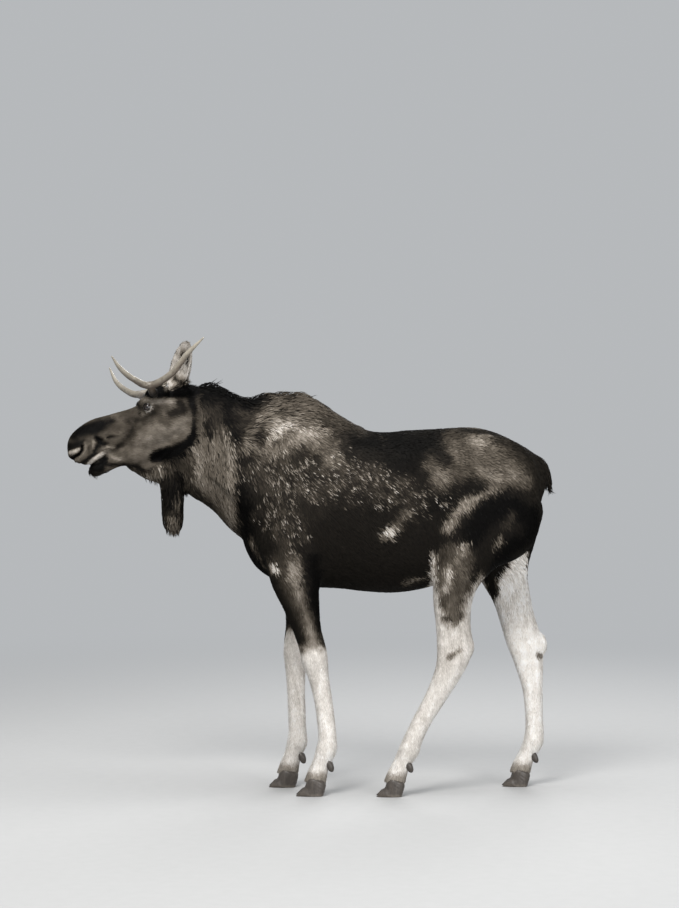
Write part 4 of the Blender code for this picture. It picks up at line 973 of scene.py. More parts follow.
ARM_LOCK = (0.020, 0.0042, 0.0062)
FOOT_LOCK = (0.012, 0.0030, 0.0032)
BELL_LOCK = (0.040, 0.0044, 0.010)
BELL_TIP_LOCK = (0.034, 0.0042, 0.010)
TAIL_LOCK = (0.036, 0.0044, 0.008)
EAR_LOCK = (0.0095, 0.0024, 0.0018)
HEAD_LOCK = (0.0125, 0.0026, 0.0030)
# In the head's frame, seen from the side.
HEAD_LOCK_SIZES = [
    ("cheek", (0.0150, 0.0029, 0.0036), 0.06, 1, [(-0.12, 0.0, 0.07)]),
    ("muzzle", (0.0068, 0.0020, 0.0015), 0.08, 1, [(-0.50, 0.05, 0.09), (-0.44, 0.06, 0.06)]),
    ("chin", (0.0085, 0.0023, 0.0022), 0.03, 1, [(-0.47, -0.06, 0.03)]),
    ("brow", (0.0065, 0.0021, 0.0018), 0.03, 1, [(-0.176, 0.107, 0.030)]),
    ("poll", (0.032, 0.0044, 0.010), 0.04, 1,
     [(-0.10, 0.17, 0.02), (-0.02, 0.15, 0.04), (0.05, 0.10, 0.04)]),
]


# Where the cheek's fur gives way to the neck's, in the head's frame: (z, y).
JAW_EDGE = [
    (-0.150, -0.400),
    (-0.132, -0.200),
    (-0.110, -0.075),
    (-0.077, -0.036),
    (-0.042, -0.016),
    (0.010, 0.010),
    (0.065, 0.032),
    (0.120, 0.045),
    (0.250, 0.050),
]


# ---------------------------------------------------------------- where a point belongs
def zones(places):
    """Soft shares, 0 to 1, of the head, bell, ears, tail and legs at each point."""
    local = to_head(places)
    y, z = places[:, 1], places[:, 2]
    bell = ramp(y, -0.600, -0.625) * ramp(z, 1.345, 1.315) * ramp(z, 1.0, 1.01)
    throat = ramp(y, -0.590, -0.620) * ramp(z, 1.455, 1.415) * ramp(local[:, 2], -0.118, -0.134)
    behind_jaw = np.interp(local[:, 2], *np.array(JAW_EDGE).T)
    head = ramp(local[:, 1] - behind_jaw, 0.012, -0.012) * (1 - np.maximum(bell, throat))
    ears = np.zeros(len(places))
    for base, tip, _ in EARS.values():
        base, tip = np.array(base), np.array(tip)
        start = base + (tip - base) * 0.02
        gap = beyond(places, [(*start, 0.040), (*(base + (tip - base) * 0.5), 0.058), (*tip, 0.040)])
        ears = np.maximum(ears, ramp(gap, 0.012, -0.004) * ramp(local[:, 2], 0.125, 0.150))
    dock = [(0, 0.846, 1.36, 0.026), (0, 0.872, 1.30, 0.030), (0, 0.874, 1.20, 0.03)]
    tail = ramp(beyond(places, dock), 0.01, 0)
    return {"head": head, "bell": bell, "throat": throat, "ears": ears, "tail": tail, "local": local}


def ear_place(places):
    """For each point, the nearer ear's (share of length, share of width, 1 in the hollow)."""
    found = np.zeros((len(places), 3))
    best = np.full(len(places), np.inf)
    for base, tip, opens in EARS.values():
        base, tip, opens = np.array(base), np.array(tip), np.array(opens)
        run = tip - base
        length = np.linalg.norm(run)
        along = run / length
        opens = opens - along * (along @ opens)
        opens /= np.linalg.norm(opens)
        across = np.cross(along, opens)
        t = (places - base) @ along / length
        u = (places - base) @ across / EAR_WIDTH
        away = np.linalg.norm(places - base - np.clip(t, 0, 1)[:, None] * run, axis=1)
        cup = 0.026 * np.clip(1 - u * u, 0, 1) * np.clip(1.15 - abs(t - 0.45) * 1.6, 0, 1)
        depth = -((places - base) @ opens)
        nearer = away < best
        best = np.minimum(best, away)
        row = np.stack([t, u, (depth < cup + 0.0045).astype(float)], axis=1)
        found[nearer] = row[nearer]
    return found


def lock_sizes(places, zone):
    """Length, width and height of the coat's locks at each point."""
    sizes = np.tile(np.array(SIDE_LOCK), (len(places), 1))
    paint(sizes, LOCK_SIZES, places)
    z = places[:, 2]
    leg = ramp(z, 0.98, 0.80) * (1 - zone["bell"])
    belly = (np.abs(places[:, 0]) < 0.2) & (places[:, 1] > 0.0) & (places[:, 1] < 0.36)
    leg = leg * np.where(belly & (z > 0.80), 0, 1)
    sizes += (np.array(ARM_LOCK) - sizes) * leg[:, None]
    sizes += (np.array(LEG_LOCK) - sizes) * ramp(z, 0.78, 0.58)[:, None]
    sizes += (np.array(FOOT_LOCK) - sizes) * ramp(z, 0.16, 0.10)[:, None]
    for share, value in ((zone["throat"], BELL_LOCK), (zone["bell"], BELL_LOCK), (zone["tail"], TAIL_LOCK)):
        sizes += (np.array(value) - sizes) * share[:, None]
    tip = zone["bell"] * ramp(z, 1.13, 1.07)
    sizes += (np.array(BELL_TIP_LOCK) - sizes) * tip[:, None]
    face = np.tile(np.array(HEAD_LOCK), (len(places), 1))
    paint(face, HEAD_LOCK_SIZES, zone["local"][:, 1:])
    sizes += (face - sizes) * zone["head"][:, None]
    sizes += (np.array(EAR_LOCK) - sizes) * zone["ears"][:, None]
    return sizes


def flow_at(places, normals, zone):
    """The way that the coat lies at each point, a unit vector along the skin."""
    flow = np.tile(np.array(SIDE_FLOW), (len(places), 1))
    paint(flow, BODY_FLOW, places[:, 1:])
    leg = ramp(places[:, 2], 0.95, 0.80)[:, None]
    flow += (np.array(LEG_FLOW) - flow) * leg
    local = zone["local"]
    face = np.tile(np.array(FACE_FLOW), (len(places), 1))
    paint(face, HEAD_FLOW, local[:, 1:])
    face[:, 0] += 0.25 * np.sign(local[:, 0]) * ramp(local[:, 2], 0.08, 0.14)
    face = face @ HEAD_TURN
    flow += (face - flow) * zone["head"][:, None]
    for share, way in (
        (zone["throat"], (0, 0.35, -0.94)),
        (zone["bell"], (0, 0.02, -1.0)),
        (zone["tail"], (0, 0.10, -0.99)),
    ):
        flow += (np.array(way) - flow) * share[:, None]
    for side_name, (base, tip, _) in EARS.items():
        mine = zone["ears"] * ((places[:, 0] > 0) == (side_name == "left"))
        flow += (np.array(tip) - np.array(base) - flow) * mine[:, None]
    for side in SIDES.values():
        away = local - eye_centre(side)
        near = ramp(np.linalg.norm(away, axis=1), 0.040, 0.022)
        flow += (unit(away) @ HEAD_TURN * 1.2 - flow * 0.5) * near[:, None]
    flow -= normals * np.sum(flow * normals, axis=1, keepdims=True)
    return unit(flow)


# ---------------------------------------------------------------- tones
def linear(grey):
    """The light that an 8-bit grey level stands for."""
    share = np.clip(np.asarray(grey, float), 0, 255) / 255
    return np.where(share < 0.04045, share / 12.92, ((share + 0.055) / 1.055) ** 2.4)


def coloured(grey):
    """The coat's natural colour at a grey level: blackish brown, grey brown, then cream."""
    albedo = linear(grey) / LIGHT_GAIN
    warm = np.interp(grey, (0, 40, 100, 170, 255), (0.30, 0.34, 0.24, 0.11, 0.06))
    balance = np.stack([1 + 0.55 * warm, 1 - 0.06 * warm, 1 - 0.75 * warm], axis=1)
    rgb = albedo[:, None] * balance
    luminance = rgb @ np.array((0.2126, 0.7152, 0.0722))
    same_light = albedo / np.maximum(luminance, 1e-9)
    return np.clip(rgb * same_light[:, None], 0.0, 0.85)


def eye_centre(side):
    """The middle of that side's eyeball, in the head's frame."""
    return np.array(mirrored(EYE_PLACE, side))


def eye_axes(side):
    """The eye's ways in the head's frame: out of the head, towards the nose, up the face."""
    out = unit(np.array([(side, -0.32, 0.10)]))[0]
    fore = np.array((0, -1.0, -0.12))
    fore = unit((fore - out * (out @ fore))[None])[0]
    up = np.cross(fore, out)
    return out, fore, up if up[2] > 0 else -up


def eye_plane(local, side):
    """Points in the head's frame as that side's eye has them, in eye radii.

    (distance past the lids' edge, towards the nose, up the face, out of the head)
    """
    out, fore, up = eye_axes(side)
    away = (local - eye_centre(side)) / EYE_RADIUS
    ahead, above, proud = away @ fore, away @ up, away @ out
    edge = np.abs(above - EYE_OPEN_RISE) - EYE_OPEN[1] * (1 - (ahead / EYE_OPEN[0]) ** 2)
    past_corner = np.abs(ahead) - EYE_OPEN[0]
    edge = np.where(past_corner > 0, np.maximum(edge, np.hypot(past_corner, above)), edge)
    return edge, ahead, above, proud


# Grey levels of the parts where no stroke lies.
BODY_GREY = 16.0
THROAT_GREY = 40.0
FACE_GREY = 62.0
TAIL_GREY = 24
HIND_GREYS = (170, 182)  # the pale hind leg's outer side, at the hock and low down
HIND_INNER_GREY = 196
FORE_GREYS = (178, 186)  # the pale foreleg, at the knee and low down
CORONET_GREY = 112  # just over the hooves
EYE_RIM_GREY = 5
UNDER_EYE_GREY = 150
EAR_GREYS = (138.0, 150.0)  # the back, the hollow
EAR_SLIT_SHADE_GREY = 8
EAR_ROOT_GREY = 6
EAR_TIP_GREY = 40


def greys(places, normals, zone):
    """The coat's grey level at each point, before the grain of its locks."""
    local = zone["local"]
    side = places[:, 1:]
    wobble = 0.6 * noise(places, 0.055, 3) + 0.5 * noise(places, 0.020, 4)
    inward = -normals[:, 0] * np.sign(places[:, 0])
    grey = np.full(len(places), BODY_GREY)
    paint(grey, BODY_MARKS_AND_PAINTED_LIGHT, side, wobble=wobble)
    paint(grey, FLANK_GLINTS, side, where=ramp(-inward, 0.35, 0.75), wobble=wobble)
    x, y, z = places.T
    leg_y = y - np.where(x < 0, np.interp(z, *np.array(STANCE).T), 0)

    hind = (y > 0.30) & (z < 1.08)
    outer = np.where(hind, ramp(inward, 0.35, 0.0), 0.0)
    pale_below = HIND_GREYS[0] + (HIND_GREYS[1] - HIND_GREYS[0]) * ramp(z, 0.60, 0.40)
    hind_line = 0.715 + 0.035 * wobble + 0.135 * ramp(leg_y, 0.46, 0.58)
    grey += (pale_below - grey) * np.where(y > 0.19, ramp(z, hind_line + 0.03, hind_line - 0.03), 0)
    inner = ramp(inward, 0.05, 0.35) * ramp(z, 1.02, 0.98) * hind * ramp(np.abs(x), 0.30, 0.24)
    grey += (HIND_INNER_GREY - grey) * inner * (y > 0.33)
    paint(grey, GASKIN_MARKS, np.stack([leg_y, z], axis=1), where=outer, wobble=wobble)
    inside = hind * (x < -0.02) * ramp(inward, -0.3, 0.1)
    paint(grey, INNER_HIND_MARKS, side, where=inside, wobble=wobble)

    fore_line = 0.615 + 0.030 * wobble + 0.06 * ramp(inward, 0.0, 0.5)
    sock = np.where(y <= 0.19, ramp(z, fore_line + 0.03, fore_line - 0.035), 0)
    pale_sock = FORE_GREYS[0] + (FORE_GREYS[1] - FORE_GREYS[0]) * ramp(z, 0.5, 0.3)
    grey += (pale_sock - grey) * sock
    grey += (CORONET_GREY - grey) * ramp(z, 0.120, 0.08)

    near_bell = np.maximum(zone["bell"], zone["throat"])
    under = np.full(len(places), THROAT_GREY)
    paint(under, THROAT_MARKS, side, wobble=wobble * 0.5)
    grey += (under - grey) * near_bell
    face = np.full(len(places), FACE_GREY)
    paint(face, HEAD_MARKS_AND_PAINTED_LIGHT, local[:, 1:], wobble=wobble * 0.40)
    grey += (face - grey) * zone["head"]
    grey += (TAIL_GREY - grey) * zone["tail"]

    for side_sign in SIDES.values():
        edge, ahead, above, proud = eye_plane(local, side_sign)
        close = (proud > -0.9) & (np.hypot(ahead, above) < 2.2) & (local[:, 0] * side_sign > 0)
        rim = np.where(close, ramp(edge, 0.34, 0.16), 0)
        grey += (EYE_RIM_GREY - grey) * rim
        pale = np.where(close, ramp(above, 0.05, -0.35) * ramp(edge, 0.22, 0.30) * ramp(edge, 0.62, 0.44), 0)
        grey += (UNDER_EYE_GREY - grey) * pale

    t, u, hollow = ear_place(places).T
    ear_grey = np.where(hollow > 0, EAR_GREYS[1], EAR_GREYS[0])
    # The slit down the ear's hollow is painted near black: painted shade inside the cupped ear.
    slit = hollow * ramp(np.abs(u + 0.05), 0.62, 0.30) * ramp(t, 0.06, 0.18) * ramp(t, 0.86, 0.62)
    ear_grey += (EAR_SLIT_SHADE_GREY - ear_grey) * slit
    ear_grey += (EAR_ROOT_GREY - ear_grey) * (1 - hollow) * ramp(t, 0.30, 0.10)
    ear_grey += (EAR_TIP_GREY - ear_grey) * ramp(t, 0.94, 1.0)
    grey += (ear_grey - grey) * zone["ears"]
    return grey


# The grizzle's flecks: their own ways and their size across, along and outwards.
FLECK_AXES = np.array([(0, 0.83, 0.56), (0, 0.56, -0.83), (1, 0, 0)])
FLECK_SIZE = np.array((0.0054, 0.0115, 0.05))


def grain(places, normals, flow, zone):
    """Grey levels with the streaks of the coat and its light-tipped tufts: (root, tip)."""
    base = greys(places, normals, zone)
    sizes = lock_sizes(places, zone)
    short = ramp(sizes[:, 2], 0.009, 0.003)
    steps = (-0.014, -0.007, 0.0, 0.007, 0.014)
    streak = sum(noise(places + flow * step, 0.0055, 5) for step in steps) / 2.2
    patch = sum(noise(places + flow * step * 1.8, 0.016, 6) for step in steps[::2]) / 1.7
    mottle = noise(places, 0.018, 17)
    fine = noise(places, 0.0075, 18)
    strength = (0.16 * streak + 0.17 * patch) * (1 - 0.55 * short)
    strength += (0.17 * mottle + 0.12 * fine) * short * (0.3 + 0.7 * zone["head"])
    level = base * np.exp(strength * ramp(base, 0, 30) * 1.15)
    share = np.zeros(len(places))
    paint(share, GRIZZLE, places[:, 1:], wobble=noise(places, 0.04, 7))
    share *= (1 - zone["head"]) * (1 - zone["bell"]) * ramp(places[:, 2], 0.75, 0.85)
    cells = places @ FLECK_AXES.T / FLECK_SIZE
    cells = cells + 0.6 * np.stack([noise(cells, 1.1, 8), noise(cells, 1.1, 9), 0 * share], axis=1)
    whole = np.floor(cells).astype(int)
    pick = hashed(whole, 11)
    light = ramp(share - pick, 0.0, 0.09) * ramp(share, 0.0, 0.12)
    bright = 45 + 105 * hashed(whole, 12) ** 1.5
    level += 20 * ramp(share, 0.0, 0.3) * ramp(noise(places, 0.024, 19), -0.5, 0.7)
    tip = level + (bright - level) * light
    root = level * (0.84 + 0.12 * short) + 0.10 * (tip - level)
    return np.clip(root, 0.3, 235), np.clip(tip, 0.5, 240)


# ---------------------------------------------------------------- the skin
EAR_WIDTH = 0.054  # half of the widest
EAR_RIM = 0.0072  # the thickness of an ear's edge
NOSTRIL = (0.052, -0.497, 0.046, 0.004)  # a spot in the left nostril in the head's frame, and its radius
NOSTRIL_SHADE_GREY = 2


def ear_flesh(base, tip, opens):
    """A cupped leaf, thick enough to survive the fusing."""
    base, tip = Vector(base), Vector(tip)
    along = (tip - base).normalized()
    opens = (Vector(opens) - along * along.dot(opens)).normalized()
    across = along.cross(opens)
    length = (tip - base).length
    # share of the length, share of the width, depth of the cup, thickness
    rows = smooth_rows(
        [
            (-0.16, 0.40, 0.000, 0.030),
            (0.00, 0.52, 0.000, 0.030),
            (0.12, 0.74, 0.018, 0.018),
            (0.30, 0.96, 0.032, 0.011),
            (0.50, 1.00, 0.030, 0.010),
            (0.72, 0.90, 0.022, 0.010),
            (0.90, 0.60, 0.012, 0.010),
            (0.99, 0.24, 0.004, 0.009),
        ],
        30,
    )
    steps = 16
    bm = bmesh.new()
    loops = []
    for at, share, cup, thick in rows:
        centre = base + along * length * at
        half = EAR_WIDTH * max(share, 0.08)
        outer, inner = [], []
        for k in range(steps):
            u = -1 + 2 * k / (steps - 1)
            curve = 1 - u * u
            depth = cup * curve + max(EAR_RIM, thick * curve)
            outer.append(bm.verts.new(centre + across * half * u - opens * depth))
            lip = opens * (cup * curve - EAR_RIM * 0.2)
            inner.append(bm.verts.new(centre + across * half * u * 0.97 - lip))
        loops.append(outer + inner[::-1])
    stack(bm, loops)
    return bm


def tail_flesh():
    """The short tail, down to its tip."""
    return tube(
        [
            (0, 0.792, 1.395, 0.026, 0.020, 0.020, 2, 2),
            (0, 0.838, 1.362, 0.030, 0.021, 0.021, 2, 2),
            (0, 0.860, 1.310, 0.028, 0.018, 0.018, 2, 2),
            (0, 0.868, 1.262, 0.024, 0.015, 0.015, 2, 2),
            (0, 0.871, 1.236, 0.016, 0.010, 0.010, 2, 2),
        ],
        rings=20,
        sides=20,
    )


def fused_flesh():
    """Every mass of flesh, ears and tail too, as one smoothed surface."""
    lumps = trunk_flesh() + neck_flesh() + bell_flesh() + head_flesh() + [tail_flesh()]
    for name, leg in LEGS.items():
        build = foreleg_flesh if name.startswith("fore") else hindleg_flesh
        lumps += build(side_of(name), leg)
    lumps += [ear_flesh(*ear) for ear in EARS.values()]
    skin = new_object("skin", join(lumps))
    fuse(skin, SKIN_VOXEL)
    apply(skin)
    places = places_of(skin)
    zone = zones(places)
    on_leg = np.clip((0.75 - places[:, 2]) / 0.15, 0, 1)
    on_head = np.clip((0.02 - zone["local"][:, 1]) / 0.08, 0, 1)
    soft = 1 - np.maximum(0.88 * on_head, 0.80 * on_leg)
    soft *= 1 - 0.90 * np.maximum(zone["ears"], zone["tail"])
    weighted_group(skin, "softness", soft)
    rounding = skin.modifiers.new("rounding", "SMOOTH")
    rounding.factor = 0.5
    rounding.iterations = round(90 * (0.0065 / SKIN_VOXEL) ** 2)
    rounding.vertex_group = "softness"
    apply(skin)
    return skin


def sink(skin):
    """Draws the surface in by the depth of the coat."""
    places, normals = places_of(skin), normals_of(skin)
    zone = zones(places)
    depth = lock_sizes(places, zone)[:, 2] * 0.80
    depth = np.where(zone["ears"] > 0.5, 0.0022, depth)
    feet = ramp(places[:, 2], 0.085, 0.06)
    depth = depth * (1 - feet)
    places = places - normals * depth[:, None]
    # Room for the hair that hangs past the ends of the bell and the tail.
    places[:, 2] += 0.026 * zone["bell"] * ramp(places[:, 2], 1.16, 1.05)
    places[:, 2] += 0.022 * zone["tail"] * ramp(places[:, 2], 1.30, 1.22)
    move_points(skin, places)


def thin_out(skin):
    """Fewer triangles, none of them taken from the face."""
    skin.vertex_groups.clear()
    places = places_of(skin)
    zone = zones(places)
    on_face = ramp(zone["local"][:, 1], 0.0, -0.05) * zone["head"]
    weights = 1 - 0.97 * np.maximum(on_face, zone["ears"] * 0.8)
    weighted_group(skin, "coarse", np.clip(weights, 0.0, 1))
    triangles = sum(len(face.vertices) - 2 for face in skin.data.polygons)
    fewer = skin.modifiers.new("fewer", "DECIMATE")
    fewer.ratio = min(1, SKIN_TRIANGLES / triangles)
    fewer.vertex_group = "coarse"
    fewer.vertex_group_factor = 1.0
    apply(skin)
    skin.vertex_groups.clear()


def refine_face(skin):
    """Splits the triangles round the eyes, nostrils and mouth into finer ones.

    Each pass has its reach round the eyes' centres and the rear end of its part of the muzzle.
    """
    bm = bmesh.new()
    bm.from_mesh(skin.data)
    bmesh.ops.triangulate(bm, faces=bm.faces)
    passes = ((0.050, -0.375), (0.032, None))
    for reach, muzzle in passes[: 2]:
        places = np.array([v.co for v in bm.verts])
        local = to_head(places)
        near = np.zeros(len(places), bool)
        for side in SIDES.values():
            near |= away_from(local, eye_centre(side)) < reach
        if muzzle:
            near |= (local[:, 1] < muzzle) & (places[:, 2] > 1.25) & (np.abs(local[:, 2]) < 0.2)
        bm.verts.ensure_lookup_table()
        edges = [e for e in bm.edges if near[e.verts[0].index] and near[e.verts[1].index]]
        bmesh.ops.subdivide_edges(bm, edges=edges, cuts=1, use_grid_fill=True)
        bmesh.ops.triangulate(bm, faces=[f for f in bm.faces if len(f.verts) > 3])
        bm.verts.index_update()
    bm.to_mesh(skin.data)
    bm.free()
    skin.data.update()


def sculpt_face(skin):
    """Folds, lips, nostrils and eyelids, as moves of the skin's points."""
    places, normals = places_of(skin), normals_of(skin)
    zone = zones(places)
    local = zone["local"]
    push = np.zeros(len(places))
    for name, height, *rest in HEAD_SCULPT:
        stroke = np.zeros(len(places))
        paint(stroke, [(name, 1.0, *rest)], local[:, 1:])
        push += stroke * height * MM
    push *= ramp(np.abs(local[:, 0]), 0.010, 0.026) * (local[:, 1] < 0.08) * (1 - zone["bell"])
    places += normals * push[:, None]
    local = to_head(places)
    for side in SIDES.values():
        edge, ahead, above, proud = eye_plane(local, side)
        r = np.hypot(ahead, above)
        ball = np.sqrt(np.clip(1 - r * r, 0, 1))
        # The lids wrap the eyeball as a shell, and slope away from it further out.
        lid = 1 + LID
        bend = 0.84 * lid
        slope = bend / math.sqrt(lid**2 - bend**2)
        hood = np.where(
            r < bend,
            np.sqrt(np.clip(lid**2 - np.minimum(r, bend) ** 2, 0, None)),
            math.sqrt(lid**2 - bend**2) - slope * (r - bend),
        )
        crease = 0.10 * ramp(np.abs(edge - 0.52), 0.12, 0.0) * ramp(r, 1.5, 1.1)
        over = np.logaddexp(proud * 7, (hood - crease) * 7) / 7
        under = np.minimum(proud, ball - 0.30)
        wanted = np.where(edge > 0.0, np.where(r < 2.0, over, proud), under)
        near = (r < 2.0) & (proud > -1.2) & (proud < 1.8) & (local[:, 0] * side > 0)
        push = np.where(near, (wanted - proud) * ramp(r, 2.0, 1.45), 0) * EYE_RADIUS
        local = local + push[:, None] * eye_axes(side)[0]
    touched = zone["head"] > 0.5
    places[touched] = from_head(local)[touched]
    move_points(skin, places)


def make_skin():
    """The finished skin, still in the working frame."""
    skin = fused_flesh()
    sink(skin)
    thin_out(skin)
    refine_face(skin)
    sculpt_face(skin)
    places, normals = places_of(skin), normals_of(skin)
    zone = zones(places)
    flow = flow_at(places, normals, zone)
    root, tip = grain(places, normals, flow, zone)
    under = 0.6 * root + 0.4 * tip
    # The skin is painted darker where the locks over it stand higher: painted shade under the coat.
    under = under * (1 - 0.6 * ramp(lock_sizes(places, zone)[:, 2], 0.0045, 0.012))
    # A spot inside each nostril is painted near black: painted shade of the nostril's depth.
    for side in SIDES.values():
        inner = 1 - ramp(beyond(zone["local"], [mirrored(NOSTRIL, side)]), 0.0, 0.004)
        under += (NOSTRIL_SHADE_GREY - under) * inner
    colour_attribute(skin, coloured(under))
    skin.data.materials.append(skin_material())
    skin.data.shade_smooth()
    return skin


# ---------------------------------------------------------------- the coat
REGIONS = (
    "muzzle", "cheeks", "ears", "neck", "bell", "shoulders", "barrel", "rump", "forelegs", "hindlegs", "tail",
)
SHORT_FURRED = ("muzzle", "cheeks", "ears", "forelegs", "hindlegs")


def regions_of(places, zone):
    """Which coat piece each point belongs to, as its place in REGIONS."""
    y, z = places[:, 1], places[:, 2]
    kind = np.full(len(places), REGIONS.index("barrel"))
    kind[y < -0.02] = REGIONS.index("shoulders")
    kind[y > 0.40] = REGIONS.index("rump")
    kind[(z < 0.86) & (y < 0.05)] = REGIONS.index("forelegs")
    hind = (z < 0.90) & (y > 0.19) & (np.abs(places[:, 0]) > 0.05) & ((z < 0.80) | (y > 0.36))
    hind |= (z < 0.40) & (y > 0.07)
    kind[hind] = REGIONS.index("hindlegs")
    neck_line = -0.335 - 0.140 * (1.80 - z) / 0.8
    kind[(y < neck_line) & (z > 1.0)] = REGIONS.index("neck")
    kind[np.maximum(zone["bell"], zone["throat"]) > 0.5] = REGIONS.index("bell")
    kind[zone["head"] > 0.5] = REGIONS.index("cheeks")
    kind[(zone["head"] > 0.5) & (zone["local"][:, 1] < -0.25)] = REGIONS.index("muzzle")
    kind[zone["ears"] > 0.5] = REGIONS.index("ears")
    kind[zone["tail"] > 0.5] = REGIONS.index("tail")
    return kind


def roots_on(skin, count, short):
    """Evenly spread roots, closer together where the locks are smaller: (places, normals)."""
    mesh = skin.data
    mesh.calc_loop_triangles()
    corners = np.empty(len(mesh.loop_triangles) * 3, np.int32)
    mesh.loop_triangles.foreach_get("vertices", corners)
    corners = corners.reshape(-1, 3)
    places, normals = places_of(skin), normals_of(skin)
    a, b, c = places[corners[:, 0]], places[corners[:, 1]], places[corners[:, 2]]
    area = np.linalg.norm(np.cross(b - a, c - a), axis=1) / 2
    middle = (a + b + c) / 3
    zone = zones(middle)
    sizes = lock_sizes(middle, zone)
    kinds = np.isin(regions_of(middle, zone), [REGIONS.index(name) for name in SHORT_FURRED])
    weight = area / (sizes[:, 0] * sizes[:, 1]) ** 0.80 * (kinds == short)
    weight[middle[:, 2] < 0.055] = 0
    total = np.cumsum(weight)
    wanted = (np.arange(count) + RANDOM.random(count)) / count * total[-1]
    face = np.minimum(np.searchsorted(total, wanted), len(total) - 1)
    r1, r2 = np.sqrt(RANDOM.random(count)), RANDOM.random(count)
    share = np.stack([1 - r1, r1 * (1 - r2), r1 * r2], axis=1)
    spots = np.einsum("ij,ijk->ik", share, places[corners[face]])
    ways = unit(np.einsum("ij,ijk->ik", share, normals[corners[face]]))
    return spots, ways


def bare(places, zone):
    """Where no hair grows: the eyes' openings, the nostrils, the lips' edges and the soles."""
    local = zone["local"]
    none = places[:, 2] < 0.058
    for side in SIDES.values():
        edge, ahead, above, proud = eye_plane(local, side)
        none |= (np.hypot(ahead, above) < 1.6) & (proud > -0.9) & (edge < 0.20) & (local[:, 0] * side > 0)
    for name, *_, path in HEAD_SCULPT:
        if name in ("nostril", "mouth line"):
            bare_side = (zone["head"] > 0.5) & (np.abs(local[:, 0]) > 0.015)
            none |= (beyond(local[:, 1:], path) < 0.0015) & bare_side
    return none


def hugged(tree, spots, normals, reach):
    """Spots drawn to the skin where it is within reach, with the skin's normals there."""
    spots, normals = spots.copy(), normals.copy()
    for number, spot in enumerate(spots.tolist()):
        place, normal, _, distance = tree.find_nearest(spot)
        if distance < reach[number]:
            spots[number] = place
            normals[number] = normal
    return spots, normals


BEND_AT = 0.46  # how far along a long lock bends


def locks(places, normals, zone, short, tree):
    """Closed tapering locks of hair: points, colours and shading normals, (count, points in a lock, 3).

    A long lock bends over half way; a short one is a single spike lying close to the skin.
    """
    count = len(places)
    sizes = lock_sizes(places, zone)
    sizes[:, 0] *= RANDOM.uniform(0.70, 1.20, count)
    sizes[:, 1] *= RANDOM.uniform(0.75, 1.25, count) * LOCK_SCALE
    sizes[:, 2] *= RANDOM.uniform(0.72, 1.12, count)
    flow = flow_at(places, normals, zone)
    side = np.cross(normals, flow)
    shaggy = ramp(sizes[:, 0], 0.018, 0.050)
    angle = noise(places, 0.05, 21) * (0.10 + 0.22 * shaggy)
    angle += noise(places, 0.016, 22) * (0.12 + 0.12 * shaggy)
    angle += RANDOM.normal(0, 0.08, count)
    lie = flow * np.cos(angle)[:, None] + side * np.sin(angle)[:, None]
    side = np.cross(normals, lie)
    roll = RANDOM.normal(0, 0.25, count)
    flat = side * np.cos(roll)[:, None] + normals * np.sin(roll)[:, None]
    over = np.cross(lie, flat)
    length, width, height = sizes.T
    thick = width * 0.42
    sway = RANDOM.normal(0, 0.07, count) * length

    root = places - normals * (0.15 * height + 0.0006)[:, None]
    half_way = places + lie * (BEND_AT * length)[:, None] + side * (0.4 * sway)[:, None]
    end = places + lie * length[:, None] + side * sway[:, None]
    end_normals = bend_normals = normals
    if not short:
        half_way, bend_normals = hugged(tree, half_way, normals, 0.30 * length)
        end, end_normals = hugged(tree, end, normals, 0.40 * length)
    bend = half_way + bend_normals * (0.72 * height)[:, None]
    tip = end + end_normals * (0.90 * height)[:, None]
    rings = [(root, normals, 1.15)] if short else [(root, normals, 0.62), (bend, bend_normals, 1.0)]
    points = np.empty((count, 3 * len(rings) + 1, 3))
    shading = np.empty(points.shape)
    for number, (centre, out, share) in enumerate(rings):
        first = 3 * number
        points[:, first] = centre - flat * (0.5 * share * width)[:, None]
        points[:, first + 1] = centre + flat * (0.5 * share * width)[:, None]
        points[:, first + 2] = centre + over * (share * thick)[:, None]
        shading[:, first] = unit(out - 0.34 * side)
        shading[:, first + 1] = unit(out + 0.34 * side)
        shading[:, first + 2] = out
    points[:, -1] = tip
    shading[:, -1] = end_normals
    points[:, :, 2] = np.maximum(points[:, :, 2], 0.004)

    strayed = places + RANDOM.normal(0, 0.24, (count, 3)) * length[:, None]
    low, high = grain(strayed, normals, flow, zones(strayed))
    vary = np.exp(RANDOM.normal(0, 0.08 - 0.03 * short, count))
    shades = np.empty(points.shape)
    shades[:, 0:3] = coloured(low * vary)[:, None]
    if not short:
        shades[:, 3:6] = coloured((0.45 * low + 0.55 * high) * vary)[:, None]
    shades[:, -1] = coloured(np.minimum(high * vary * 1.08, 235))
    return points, shades, shading


# A short lock's points are its root's three corners and its tip, and a long one has three more at its
# bend. Each has its place in the strand: across it from -1 to 1, and along it from 0 to 1.
EDGES = ((0, 1), (1, 2), (2, 0))
ROOT_STRAND = ((-1, 0), (1, 0), (0, 0))
SHORT_STRAND = (*ROOT_STRAND, (0, 1))
LONG_STRAND = (*ROOT_STRAND, (-1, BEND_AT), (1, BEND_AT), (0, BEND_AT), (0, 1))
# A lock's patch of the bake's map has one strip a side: its left, its right and its tip.
STRIPS = ((0.02, 0.31, 0.16), (0.35, 0.64, 0.50), (0.68, 0.97, 0.83))
PATCH_SIZE = 0.003
# How far apart the parts of an unwrap lie before it is brought to 0 to 1.
EAR_HOLLOW_SHIFT = 2.4
EAR_PAIR_SHIFT = 1.3
LEG_PAIR_SHIFT = 3.3


